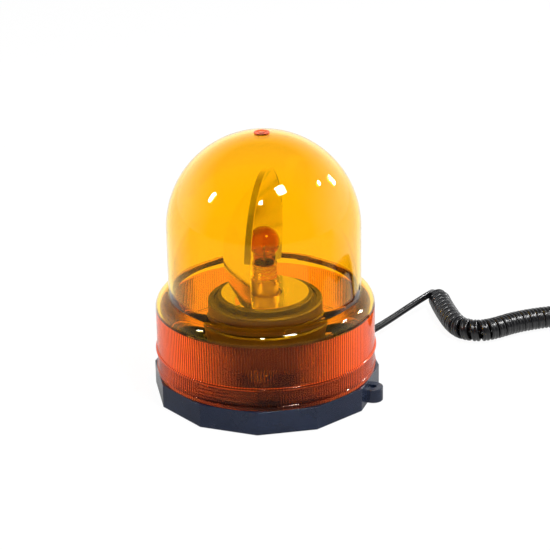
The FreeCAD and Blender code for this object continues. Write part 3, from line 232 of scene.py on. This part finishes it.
def make_floor():
    """Plain white paper that runs out of the picture."""
    mesh = bpy.data.meshes.new("floor")
    corners = [(-1, -1), (1, -1), (1, 1), (-1, 1)]
    mesh.from_pydata([(x * FLOOR_HALF, y * FLOOR_HALF, 0) for x, y in corners], [],
                     [(0, 1, 2, 3)])
    floor = bpy.data.objects.new("floor", mesh)
    bpy.context.scene.collection.objects.link(floor)
    material = bpy.data.materials.new("floor_paper")
    tree = node_tree(material)
    out = tree.nodes.new("ShaderNodeOutputMaterial")
    diffuse = coloured(tree, "ShaderNodeBsdfDiffuse", (0.9, 0.9, 0.9))
    glow = coloured(tree, "ShaderNodeEmission", (1.0, 1.0, 1.0))
    mirrored = spread(tree, axes(tree)["Y"], FLOOR_MIRRORED, 1.0, (-0.05, 0.10))
    tree.links.new(white_for_rays(tree, mirrored), glow.inputs["Strength"])
    share = maths(tree, "MINIMUM", white_for_rays(tree, 1.0), FLOOR_GLOW)
    tree.links.new(mix_shaders(tree, share, diffuse.outputs[0], glow.outputs[0]),
                   out.inputs["Surface"])
    floor.data.materials.append(material)


def make_stage():
    make_room()
    make_floor()
    for lamp in LAMPS:
        add_lamp(*lamp)
    bpy.context.scene.view_settings.view_transform = "Standard"


# ---------------------------------------------------------------- materials

PLASTIC_IOR = 1.45
# The ribs bend light less than solid plastic, because the outside lets it straight through.
RIB_IOR = 1.22
# The glow of the lower rib band and of its plain window, as shares of the upper band's.
LOWER_GLOW = 0.42
WINDOW_GLOW = 0.084


def principled(name, colour, roughness, metallic=0.0):
    """A new material with one Principled shader; returns (material, tree, shader)."""
    material = bpy.data.materials.new(name)
    tree = node_tree(material)
    out = tree.nodes.new("ShaderNodeOutputMaterial")
    shader = tree.nodes.new("ShaderNodeBsdfPrincipled")
    shader.inputs["Base Color"].default_value = (*colour, 1.0)
    shader.inputs["Roughness"].default_value = roughness
    shader.inputs["Metallic"].default_value = metallic
    tree.links.new(shader.outputs[0], out.inputs["Surface"])
    return material, tree, shader


def noise(tree, scale, detail=3.0, stretch=None):
    """Noise texture in object space; scale is features per metre."""
    place = tree.nodes.new("ShaderNodeTexCoord")
    texture = tree.nodes.new("ShaderNodeTexNoise")
    texture.inputs["Scale"].default_value = scale
    texture.inputs["Detail"].default_value = detail
    source = place.outputs["Object"]
    if stretch:
        mapping = tree.nodes.new("ShaderNodeMapping")
        mapping.inputs["Scale"].default_value = stretch
        tree.links.new(source, mapping.inputs["Vector"])
        source = mapping.outputs[0]
    tree.links.new(source, texture.inputs["Vector"])
    return texture.outputs["Fac"]


def spread(tree, factor, low, high, clip=(0.3, 0.7)):
    """Maps a factor to a range of values; low and high may be sockets."""
    node = tree.nodes.new("ShaderNodeMapRange")
    node.inputs["From Min"].default_value = clip[0]
    node.inputs["From Max"].default_value = clip[1]
    for name, value in (("To Min", low), ("To Max", high)):
        if isinstance(value, (int, float)):
            node.inputs[name].default_value = value
        else:
            tree.links.new(value, node.inputs[name])
    tree.links.new(factor, node.inputs["Value"])
    return node.outputs["Result"]


def two_colours(tree, factor, first, second):
    """The first colour where the factor is 0, the second where it is 1."""
    node = tree.nodes.new("ShaderNodeMix")
    node.data_type = "RGBA"
    node.inputs["A"].default_value = (*first, 1.0)
    node.inputs["B"].default_value = (*second, 1.0)
    tree.links.new(factor, node.inputs["Factor"])
    return node.outputs["Result"]


def rough_up(tree, shader, height, strength, distance, round_edges=0.0):
    """Bump from a height field, over edges rounded by round_edges metres."""
    bump = tree.nodes.new("ShaderNodeBump")
    bump.inputs["Strength"].default_value = strength
    bump.inputs["Distance"].default_value = distance
    tree.links.new(height, bump.inputs["Height"])
    if round_edges:
        bevel = tree.nodes.new("ShaderNodeBevel")
        bevel.inputs["Radius"].default_value = round_edges
        tree.links.new(bevel.outputs[0], bump.inputs["Normal"])
    tree.links.new(bump.outputs[0], shader.inputs["Normal"])


def moulded(name, colour, other, roughness, grain=900.0, bump=0.15, edge=0.0004, coat=0.0,
            metallic=0.0, stretch=None):
    """Moulded plastic, rubber or metal: two close tones, uneven gloss and a fine grain."""
    material, tree, shader = principled(name, colour, roughness, metallic)
    blotch = noise(tree, 45.0, 4.0)
    tree.links.new(two_colours(tree, spread(tree, blotch, 0.0, 1.0), colour, other),
                   shader.inputs["Base Color"])
    patch = noise(tree, 130.0, 5.0, stretch)
    tree.links.new(spread(tree, patch, roughness * 0.75, min(1.0, roughness * 1.3)),
                   shader.inputs["Roughness"])
    rough_up(tree, shader, noise(tree, grain, 2.0, stretch), bump, 0.0003, edge)
    if coat:
        shader.inputs["Coat Weight"].default_value = coat
        shader.inputs["Coat Roughness"].default_value = 0.08
    return material


def let_lamps_in(tree, shader, tint):
    """The lamps' light goes straight through the surface in a tint."""
    clear = coloured(tree, "ShaderNodeBsdfTransparent", tint)
    path = tree.nodes.new("ShaderNodeLightPath")
    out = next(n for n in tree.nodes if n.bl_idname == "ShaderNodeOutputMaterial")
    tree.links.new(mix_shaders(tree, path.outputs["Is Shadow Ray"], shader.outputs[0],
                               clear.outputs[0]), out.inputs["Surface"])


def see_through(name, tint, shadow_tint, streaks=0.0):
    """Clear coloured plastic or glass."""
    material, tree, shader = principled(name, tint, 0.0)
    shader.inputs["IOR"].default_value = PLASTIC_IOR
    shader.inputs["Transmission Weight"].default_value = 1.0
    if streaks:
        wave = noise(tree, 60.0, 2.0, (1.0, 1.0, 0.3))
        rough_up(tree, shader, wave, streaks, 0.0004)
    let_lamps_in(tree, shader, shadow_tint)
    return material


def painted_rib_shading(tree):
    """(painted light and shade, glow strength) over the skirt: painted stripes along the ribs and
    the grid's rows, flat in the plain window; less glow in the lower band and its window.
    """
    place = axes(tree)
    height = place["Z"]
    angle = maths(tree, "ARCTAN2", place["Y"], place["X"])
    ribs = maths(tree, "COSINE", maths(tree, "MULTIPLY", angle, float(RIBS)), 0.0)
    along = spread(tree, height, 0.0, 2 * math.pi * GRID_ROWS,
                   (LOWER_RIBS[0] * MM, LOWER_RIBS[1] * MM))
    rows = maths(tree, "COSINE", along, 0.0)
    lower = maths(tree, "LESS_THAN", height, BEAD_HEIGHT * MM)
    panels = []
    for first, last in (GRID_PANEL, CLEAR_PANEL):
        inside = maths(tree, "MULTIPLY", maths(tree, "GREATER_THAN", angle, math.radians(first)),
                       maths(tree, "LESS_THAN", angle, math.radians(last)))
        panels.append(maths(tree, "MULTIPLY", inside, lower))
    grid, window = panels
    wave = maths(tree, "ADD", maths(tree, "MULTIPLY", ribs, maths(tree, "SUBTRACT", 1.0, grid)),
                 maths(tree, "MULTIPLY", rows, grid))
    wave = maths(tree, "MULTIPLY", wave, maths(tree, "SUBTRACT", 1.0, window))
    strength = maths(tree, "SUBTRACT", spread(tree, lower, 1.0, LOWER_GLOW, (0.0, 1.0)),
                     maths(tree, "MULTIPLY", window, LOWER_GLOW - WINDOW_GLOW))
    return spread(tree, wave, 0.0, 1.0, (-0.8, 0.8)), strength


def amber_skirt():
    """The skirt's outside: coloured light, with the glow that its ribs catch towards the sides."""
    material = bpy.data.materials.new("amber_skirt")
    tree = node_tree(material)
    out = tree.nodes.new("ShaderNodeOutputMaterial")
    clear = tree.nodes.new("ShaderNodeBsdfTransparent")
    tone = spread(tree, noise(tree, 40.0, 2.0), 0.0, 1.0)
    tree.links.new(two_colours(tree, tone, (1.0, 0.48, 0.20), (1.0, 0.44, 0.16)),
                   clear.inputs["Color"])
    front = coloured(tree, "ShaderNodeBsdfDiffuse", (1.0, 0.105, 0.016))
    through = coloured(tree, "ShaderNodeBsdfTranslucent", (1.0, 0.30, 0.05))
    glow = mix_shaders(tree, 0.35, front.outputs[0], through.outputs[0])
    weight = tree.nodes.new("ShaderNodeLayerWeight")
    weight.inputs["Blend"].default_value = 0.5
    share = spread(tree, weight.outputs["Facing"], 0.03, 0.9, (0.12, 0.52))
    # Painted light and shade: the glow's share rises and falls in stripes along the ribs and the
    # grid's rows.
    rib_light_and_shade, strength = painted_rib_shading(tree)
    share = maths(tree, "MULTIPLY", share, spread(tree, rib_light_and_shade, 0.4, 1.6, (0.0, 1.0)))
    share = maths(tree, "MINIMUM", maths(tree, "MULTIPLY", share, strength), 1.0)
    gloss = tree.nodes.new("ShaderNodeBsdfGlossy")
    gloss.inputs["Roughness"].default_value = 0.04
    fresnel = tree.nodes.new("ShaderNodeFresnel")
    fresnel.inputs["IOR"].default_value = PLASTIC_IOR
    under = mix_shaders(tree, share, clear.outputs[0], glow)
    tree.links.new(mix_shaders(tree, fresnel.outputs[0], under, gloss.outputs[0]),
                   out.inputs["Surface"])
    return material


def amber_ribs():
    """The skirt's ribbed inside: bends the light a little, with painted shade as a deeper tone in
    each rib's valley and a paler tone on its crest.
    """
    material, tree, shader = principled("amber_ribs", (1.0, 0.6, 0.3), 0.03)
    shader.inputs["IOR"].default_value = RIB_IOR
    shader.inputs["Transmission Weight"].default_value = 0.985
    # Painted shade: a deeper tone in the rib valleys, a paler one on the crests.
    tree.links.new(two_colours(tree, painted_rib_shading(tree)[0], (1.0, 0.80, 0.45),
                               (0.90, 0.45, 0.16)), shader.inputs["Base Color"])
    let_lamps_in(tree, shader, (1.0, 0.75, 0.55))
    return material


def make_materials():
    metal = dict(metallic=1.0, bump=0.05, edge=0.0002, stretch=(1.0, 1.0, 6.0))
    made = {
        "amber_dome": see_through("amber_dome", (1.0, 0.66, 0.035), (1.0, 0.86, 0.40), 0.02),
        "amber_skirt": amber_skirt(),
        "amber_ribs": amber_ribs(),
        "gloss_black": moulded("gloss_black", (0.006, 0.010, 0.024), (0.010, 0.016, 0.036), 0.22,
                               700.0, 0.25, 0.0006, 0.3),
        "grey_black": moulded("grey_black", (0.020, 0.021, 0.024), (0.030, 0.031, 0.035), 0.45,
                              1500.0, 0.3),
        "brown_black": moulded("brown_black", (0.026, 0.017, 0.012), (0.042, 0.028, 0.018), 0.42,
                               900.0, 0.2),
        "rubber": moulded("rubber", (0.016, 0.016, 0.017), (0.024, 0.024, 0.025), 0.65, 2200.0,
                          0.4),
        "cord_jacket": moulded("cord_jacket", (0.003, 0.003, 0.004), (0.006, 0.006, 0.007), 0.30,
                               1800.0, 0.12, 0.0, 0.12),
        "zinc": moulded("zinc", (0.62, 0.62, 0.60), (0.50, 0.50, 0.47), 0.30, 700.0, **metal),
        "can_steel": moulded("can_steel", (0.55, 0.56, 0.57), (0.46, 0.47, 0.49), 0.25, 900.0,
                             **metal),
        "ferrite": moulded("ferrite", (0.05, 0.05, 0.054), (0.075, 0.074, 0.075), 0.62, 1600.0,
                           0.5),
        "brass": moulded("brass", (0.74, 0.52, 0.20), (0.60, 0.41, 0.15), 0.28, 700.0, **metal),
        "nickel": moulded("nickel", (0.72, 0.66, 0.54), (0.60, 0.54, 0.42), 0.25, 700.0, **metal),
        "holder_metal": moulded("holder_metal", (0.52, 0.38, 0.20), (0.40, 0.28, 0.13), 0.34, 700.0,
                                **metal),
        "cap_brass": moulded("cap_brass", (0.80, 0.60, 0.28), (0.66, 0.48, 0.22), 0.24, 700.0,
                             **metal),
        "tungsten": moulded("tungsten", (0.30, 0.29, 0.28), (0.22, 0.21, 0.20), 0.45, 3000.0,
                            **metal),
        "phenolic": moulded("phenolic", (0.18, 0.09, 0.045), (0.24, 0.13, 0.06), 0.55, 1200.0,
                            0.35),
        "bronze": moulded("bronze", (0.50, 0.31, 0.14), (0.40, 0.25, 0.11), 0.42, 2500.0, **metal),
        "acetal": moulded("acetal", (0.80, 0.78, 0.72), (0.72, 0.70, 0.63), 0.35, 900.0, 0.12,
                          0.0002),
        "solder": moulded("solder", (0.58, 0.58, 0.57), (0.44, 0.44, 0.44), 0.4, 1200.0,
                          metallic=1.0),
        "glass": see_through("glass", (0.96, 0.97, 0.96), (0.97, 0.98, 0.97)),
        # Painted shade: the bulb glass is tinted brown to stand in for the dark surroundings that
        # the clear glass shows.
        "bulb_glass": see_through("bulb_glass", (0.74, 0.38, 0.15), (0.85, 0.65, 0.45)),
    }
    mirror, tree, shader = principled("mirror", (0.90, 0.90, 0.90), 0.03, 1.0)
    haze = noise(tree, 90.0, 4.0)
    tree.links.new(spread(tree, haze, 0.12, 0.24), shader.inputs["Roughness"])
    rough_up(tree, shader, noise(tree, 35.0, 1.0), 0.02, 0.0008)
    made["mirror"] = mirror
    return made


NODE_MATERIALS = {
    "gloss_black": ["base_pan"],
    "zinc": ["magnet_cup", "magnet_bolt", "magnet_washer", "magnet_nut", "housing_screws",
             "motor_screws", "reflector_screws", "retaining_ring"],
    "ferrite": ["ring_magnet"],
    "rubber": ["magnet_pad", "lens_seal", "cord_grommet", "plug_strain_relief"],
    "brown_black": ["motor_housing", "turntable"],
    "can_steel": ["motor_can", "motor_shaft", "contact_spring", "plug_spring"],
    "grey_black": ["motor_end_cap", "plug_body", "plug_nose_ring"],
    "nickel": ["motor_terminals", "plug_tip", "plug_side_contact_left",
               "plug_side_contact_right"],
    "holder_metal": ["bulb_holder"],
    "acetal": ["motor_pinion", "thrust_washer"],
    "brass": ["centre_post", "contact_plunger"],
    "bronze": ["hub_bush"],
    "phenolic": ["holder_insulator"],
    "cap_brass": ["bulb_cap"],
    "solder": ["bulb_contact"],
    "glass": ["plug_fuse"],
    "bulb_glass": ["bulb_glass"],
    "tungsten": ["filament", "filament_supports"],
    "mirror": ["reflector"],
    "amber_dome": ["lens"],
    "cord_jacket": ["cord_lead", "cord_coil", "cord_tail"],
}


def dress_nodes():
    """Gives every CAD node its material."""
    for name, nodes in NODE_MATERIALS.items():
        for node in nodes:
            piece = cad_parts[node]
            piece.data.materials.clear()
            piece.data.materials.append(MATERIALS[name])


# ---------------------------------------------------------------- mesh helpers

def add_piece(name, vertices, faces, materials, body, kinds=None):
    """A smooth-shaded piece; kinds holds each face's index into materials."""
    mesh = bpy.data.meshes.new(name)
    mesh.from_pydata([tuple(v) for v in vertices], [], faces)
    for material in materials:
        mesh.materials.append(MATERIALS[material])
    if kinds:
        mesh.polygons.foreach_set("material_index", kinds)
    mesh.polygons.foreach_set("use_smooth", [True] * len(mesh.polygons))
    mesh.update()
    piece = bpy.data.objects.new(name, mesh)
    bpy.context.scene.collection.objects.link(piece)
    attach(piece, body)
    return piece


def mark_sharp(piece, degrees):
    """Edges that turn by more than this stay crisp under smooth shading."""
    mesh = bmesh.new()
    mesh.from_mesh(piece.data)
    for edge in mesh.edges:
        if len(edge.link_faces) == 2 and edge.calc_face_angle() > math.radians(degrees):
            edge.smooth = False
    mesh.to_mesh(piece.data)
    mesh.free()


# ---------------------------------------------------------------- cord

# The route, in millimetres: the lead from the grommet, the curly length, and the tail.
ROUTE = [
    (41.7, 41.7, 7.2), (57.0, 57.0, 7.2), (96.1, 114.0, 12.0),
    (101.5, 131.0, 7.05), (106.9, 102.5, 7.05), (114.6, 75.1, 7.05), (123.9, 68.9, 7.05),
    (134.8, 69.8, 7.05), (156.1, 86.4, 7.05), (190.0, 97.4, 7.05), (222.0, 90.0, 7.05),
    (238.0, 56.0, 7.05), (240.0, 16.0, 7.05), (236.0, -20.0, 7.05),
    (234.667, -32.0, 7.05), (230.145, -49.386, 12.1), (227.0, -62.0, 12.1),
]
COIL_START = (101.5, 126.0, 7.05)
COIL_END = (236.0, -22.0, 7.05)
# Sizes of the flex and its coil, in millimetres.
FLEX_WIDTH = 5.0
CORE_RADIUS = 1.25
COIL_MIDDLE_RADIUS = 5.75
COIL_PITCH = 5.12
COIL_RAMP = 9.0
SAMPLES_PER_TURN = 26
STRAIGHT_STEP = 1.5
# Uneven turns: how far they lean along the route, as (amplitude in mm, waves per mm) pairs,
# and how far the coil is lifted off the table.
UNEVEN = [(0.12, 0.11), (0.08, 0.37)]
COIL_LIFT = 0.12


def route_line():
    """Points of the route's smooth spline, in millimetres."""
    curve = bpy.data.curves.new("cord_route", "CURVE")
    curve.dimensions = "3D"
    curve.resolution_u = 20
    spline = curve.splines.new("NURBS")
    spline.points.add(len(ROUTE) - 1)
    for point, place in zip(spline.points, ROUTE):
        point.co = (*place, 1.0)
    spline.order_u = 3
    spline.use_endpoint_u = True
    guide = bpy.data.objects.new("cord_route", curve)
    mesh = bpy.data.meshes.new_from_object(guide)
    line = [vertex.co.copy() for vertex in mesh.vertices]
    bpy.data.objects.remove(guide)
    bpy.data.meshes.remove(mesh)
    bpy.data.curves.remove(curve)
    return line


class Spine:
    """The route with distances along it and a frame that doesn't twist."""

    def __init__(self, line):
        self.line = line
        self.along = [0.0]
        for first, second in zip(line, line[1:]):
            self.along.append(self.along[-1] + (second - first).length)
        tangents = [(b - a).normalized() for a, b in zip(line, line[1:])]
        tangents.append(tangents[-1])
        side = Vector((0, 0, 1)).cross(tangents[0]).normalized()
        self.sides = [side]
        for first, second in zip(tangents, tangents[1:]):
            side = first.rotation_difference(second) @ side
            side = (side - second * side.dot(second)).normalized()
            self.sides.append(side)
        self.tangents = tangents

    def nearest(self, place):
        """Distance along the route to its point nearest a place."""
        place = Vector(place)
        index = min(range(len(self.line)), key=lambda i: (self.line[i] - place).length)
        return self.along[index]

    def at(self, distance):
        """(point, tangent, side) at a distance along the route."""
        index = min(bisect.bisect_right(self.along, distance), len(self.along) - 1) - 1
        span = self.along[index + 1] - self.along[index]
        share = min(1.0, max(0.0, (distance - self.along[index]) / span if span else 0.0))
        return (self.line[index].lerp(self.line[index + 1], share),
                self.tangents[index].lerp(self.tangents[index + 1], share).normalized(),
                self.sides[index].lerp(self.sides[index + 1], share).normalized())


def smooth_step(x):
    """Rises from 0 to 1 as x does, level at both ends."""
    x = min(1.0, max(0.0, x))
    return x * x * (3 - 2 * x)


def flex_outline():
    """Section of flat twin flex as (across, out) pairs in millimetres."""
    turns = [math.radians(a) for a in (-143, -105, -65, -22, 22, 65, 105, 143)]
    offset = FLEX_WIDTH / 2 - CORE_RADIUS
    right = [(offset + CORE_RADIUS * math.cos(a), CORE_RADIUS * math.sin(a)) for a in turns]
    return right + [(-across, -out) for across, out in right]


def make_cord(plug_spring):
    """The whole cord in one piece: straight lead, curly length and tail, of flat twin flex."""
    spine = Spine(route_line())
    total = spine.along[-1]
    begin, stop = spine.nearest(COIL_START), spine.nearest(COIL_END)
    stops = []
    distance = 0.0
    while distance < total:
        stops.append(distance)
        in_coil = begin - 1.0 < distance < stop + 1.0
        distance += COIL_PITCH / SAMPLES_PER_TURN if in_coil else STRAIGHT_STEP
    stops.append(total)
    path, outward = [], []
    for distance in stops:
        point, tangent, side = spine.at(distance)
        turn = 2 * math.pi * min(max(distance - begin, 0.0), stop - begin) / COIL_PITCH
        out = Matrix.Rotation(turn, 3, tangent) @ side
        coiled = smooth_step((distance - begin) / COIL_RAMP)
        coiled *= smooth_step((stop - distance) / COIL_RAMP)
        lean = sum(size * math.sin(distance * waves) for size, waves in UNEVEN)
        path.append(point + out * COIL_MIDDLE_RADIUS * coiled + tangent * lean * coiled
                    + Vector((0, 0, COIL_LIFT * coiled)))
        outward.append(out)
    outline = flex_outline()
    count = len(outline)
    vertices, faces = [], []
    for i, point in enumerate(path):
        before, after = path[max(0, i - 1)], path[min(len(path) - 1, i + 1)]
        tangent = (after - before).normalized()
        out = (outward[i] - tangent * outward[i].dot(tangent)).normalized()
        across = tangent.cross(out)
        vertices += [(point + across * a + out * o) * MM for a, o in outline]
    for i in range(len(path) - 1):
        for k in range(count):
            a, b = i * count + k, i * count + (k + 1) % count
            faces.append((a, b, b + count, a + count))
    last = (len(path) - 1) * count
    faces.append(tuple(range(count - 1, -1, -1)))
    faces.append(tuple(range(last, last + count)))
    cord = add_piece("cord", vertices, faces, ["cord_jacket"], "base")
    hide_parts("cord_lead", "cord_coil", "cord_tail")


# ---------------------------------------------------------------- lens

LENS_MATERIALS = ["amber_dome", "amber_skirt", "amber_ribs"]


def lens_outside():
    """Outer profile (radius, height) from the bottom edge to the pole."""
    points = [(SKIRT_RADIUS + LIP_REACH - 0.25, LENS_BOTTOM),
              (SKIRT_RADIUS + LIP_REACH, LENS_BOTTOM + 0.25),
              (SKIRT_RADIUS + LIP_REACH, LIP_TOP - 0.2), (SKIRT_RADIUS + 0.15, LIP_TOP),
              (SKIRT_RADIUS, LIP_TOP + 0.25)]
    for z in (20.5, 23.0, 25.5):
        points.append((SKIRT_RADIUS, z))
    for k in range(9):
        a = math.radians(-90 + 180 * k / 8)
        points.append((SKIRT_RADIUS + BEAD_RADIUS * math.cos(a),
                       BEAD_HEIGHT + BEAD_RADIUS * math.sin(a)))
    for z in (32.0, 37.0, 42.0, 47.0, 51.0):
        points.append((SKIRT_RADIUS, z))
    middle = SKIRT_RADIUS - SHOULDER_RADIUS
    for k in range(12):
        a = math.radians(85.0 * k / 11)
        radius = middle + SHOULDER_RADIUS * math.cos(a)
        if radius > DOME_RADIUS + 0.4:
            points.append((radius, SHOULDER_START + SHOULDER_RADIUS * math.sin(a)))
    points += [(DOME_RADIUS + 0.25, SHOULDER_TOP - 0.1), (DOME_RADIUS, SHOULDER_TOP + 0.3)]
    for z in (68.0, 74.0, 80.0, 86.0, 92.0, 98.0):
        points.append((DOME_RADIUS, z))
    points += dome_arc(DOME_RADIUS, GATE_RADIUS + 0.3)
    step = DOME_CENTRE + math.sqrt(DOME_RADIUS ** 2 - GATE_RADIUS ** 2)
    crown = DOME_CENTRE + DOME_RADIUS + GATE_HEIGHT
    points += [(GATE_RADIUS, step + 0.1), (GATE_RADIUS, crown - 0.15), (GATE_RADIUS - 0.15, crown),
               (GATE_RADIUS * 0.72, crown), (GATE_RADIUS * 0.68, crown - GATE_HEIGHT / 2),
               (GATE_RADIUS * 0.47, crown - GATE_HEIGHT / 2), (GATE_RADIUS * 0.43, crown),
               (POLE_RADIUS, crown)]
    return points


def dome_arc(radius, smallest):
    """Quarter circle from the dome's equator until it comes within smallest of the axis."""
    points = []
    for k in range(40):
        a = math.radians(90.0 * k / 40)
        if radius * math.cos(a) > smallest:
            points.append((radius * math.cos(a), DOME_CENTRE + radius * math.sin(a)))
    return points


def lens_inside():
    """Inner profile from the pole down to the bottom edge; third value is the rib share."""
    inner = DOME_RADIUS - DOME_WALL
    points = [(POLE_RADIUS, DOME_CENTRE + inner, 0.0)]
    points += [(r, z, 0.0) for r, z in reversed(dome_arc(inner, 1.0))]
    for z in (95.0, 86.0, 77.0, 68.0):
        points.append((inner, z, 0.0))
    skirt = SKIRT_RADIUS - SKIRT_WALL
    points.append((inner, SHOULDER_TOP - SKIRT_WALL + 0.2, 0.0))
    bend = SHOULDER_RADIUS - SKIRT_WALL
    for k in range(8):
        a = math.radians(80.0 * (7 - k) / 7)
        radius = SKIRT_RADIUS - SHOULDER_RADIUS + bend * math.cos(a)
        points.append((radius, SHOULDER_START + bend * math.sin(a), 0.0))
    for low, high in (UPPER_RIBS, LOWER_RIBS):
        points.append((skirt, high, 0.0))
        top, bottom = high - RIB_RUN_OUT, low + RIB_RUN_OUT
        rows = 3 if low > BEAD_HEIGHT else 4 * GRID_ROWS
        for k in range(rows + 1):
            points.append((skirt, top - (top - bottom) * k / rows, 1.0))
        points.append((skirt, low, 0.0))
    points.append((skirt, LENS_BOTTOM + 0.2, 0.0))
    points.append((skirt + 0.2, LENS_BOTTOM, 0.0))
    return points


def rib_depth(degrees, height, step):
    """How far the inner face stands in at an angle and height; step counts along the ring."""
    across = (0.0, 0.75, 1.0, 0.75)[step % SEGMENTS_PER_RIB]
    if height < BEAD_HEIGHT:
        if CLEAR_PANEL[0] < degrees < CLEAR_PANEL[1]:
            return 0.0
        if GRID_PANEL[0] < degrees < GRID_PANEL[1]:
            low, high = LOWER_RIBS[0] + RIB_RUN_OUT, LOWER_RIBS[1] - RIB_RUN_OUT
            row = (height - low) / (high - low) * GRID_ROWS
            return RIB_DEPTH * min(across + 0.15, abs(math.sin(math.pi * row)) ** 0.5)
    return RIB_DEPTH * across


def bayonet_lug(vertices, faces, kinds, middle):
    """Adds one of the lugs that turn under the base's hooks, a closed block in the skirt."""
    start = len(vertices)
    for height in LUG_HEIGHTS:
        for radius in LUG_RADII:
            for k in range(LUG_STEPS + 1):
                a = middle + math.radians(LUG_HALF_ANGLE * (2.0 * k / LUG_STEPS - 1.0))
                vertices.append((radius * math.cos(a) * MM, radius * math.sin(a) * MM,
                                 height * MM))
    inner, outer, inner_top, outer_top = (start + (LUG_STEPS + 1) * n for n in range(4))
    for k in range(LUG_STEPS):
        faces += [(inner + k, inner + k + 1, outer + k + 1, outer + k),
                  (inner_top + k, outer_top + k, outer_top + k + 1, inner_top + k + 1),
                  (inner + k, inner_top + k, inner_top + k + 1, inner + k + 1),
                  (outer + k, outer + k + 1, outer_top + k + 1, outer_top + k)]
    faces += [(inner, outer, outer_top, inner_top),
              (inner + LUG_STEPS, inner_top + LUG_STEPS, outer_top + LUG_STEPS,
               outer + LUG_STEPS)]
    kinds += [LENS_MATERIALS.index("amber_dome")] * (4 * LUG_STEPS + 2)


def lens_material(here, there, outside):
    """Index of the material between two profile points: dome, or skirt outside and inside."""
    skirt = max(here[1], there[1]) < SHOULDER_START + 1.0
    gate = (here[1] > DOME_CENTRE + DOME_RADIUS - 0.3 and POLE_RADIUS < here[0] <= GATE_RADIUS)
    if not (skirt or gate):
        return LENS_MATERIALS.index("amber_dome")
    return LENS_MATERIALS.index("amber_skirt" if outside else "amber_ribs")


def make_lens():
    """The lens as one closed mesh: its profile turned round the axis, with ribs and lugs."""
    ring = RIBS * SEGMENTS_PER_RIB
    outside = [(r, z, 0.0) for r, z in lens_outside()]
    rows = outside + lens_inside()
    vertices = []
    for radius, height, share in rows:
        for k in range(ring):
            a = 2 * math.pi * k / ring
            degrees = (math.degrees(a) + 180) % 360 - 180
            r = radius - share * rib_depth(degrees, height, k) if share else radius
            vertices.append((r * math.cos(a) * MM, r * math.sin(a) * MM, height * MM))
    faces, kinds = [], []
    for i, here in enumerate(rows):
        j = (i + 1) % len(rows)
        there = rows[j]
        if here[0] == there[0] == POLE_RADIUS:
            faces.append(tuple(range(i * ring, (i + 1) * ring)))
            faces.append(tuple(range((j + 1) * ring - 1, j * ring - 1, -1)))
            kinds += [LENS_MATERIALS.index("amber_dome")] * 2
            continue
        for k in range(ring):
            n = (k + 1) % ring
            faces.append((i * ring + k, i * ring + n, j * ring + n, j * ring + k))
        kinds += [lens_material(here, there, i < len(outside))] * ring
    for number in range(LUG_COUNT):
        bayonet_lug(vertices, faces, kinds, math.radians(360.0 / LUG_COUNT * number))
    lens = add_piece("lens_moulding", vertices, faces, LENS_MATERIALS, "lens",
                     kinds)
    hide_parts("lens")
    mark_sharp(lens, CREASE_DEGREES)


# ---------------------------------------------------------------- springs


def make_spring(name, node):
    """A copy of a spring node's mesh, fixed to the base, shown in place of the node."""
    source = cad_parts[node]
    piece = bpy.data.objects.new(name, source.data.copy())
    bpy.context.scene.collection.objects.link(piece)
    piece.matrix_world = source.matrix_world.copy()
    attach(piece, "base")
    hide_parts(node)
    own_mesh(piece)
    return piece


# ---------------------------------------------------------------- the scene

make_stage()
make_camera()
MATERIALS = make_materials()
dress_nodes()
make_spring("contact_spring_coil", "contact_spring")
make_cord(make_spring("plug_spring_coil", "plug_spring"))
make_lens()
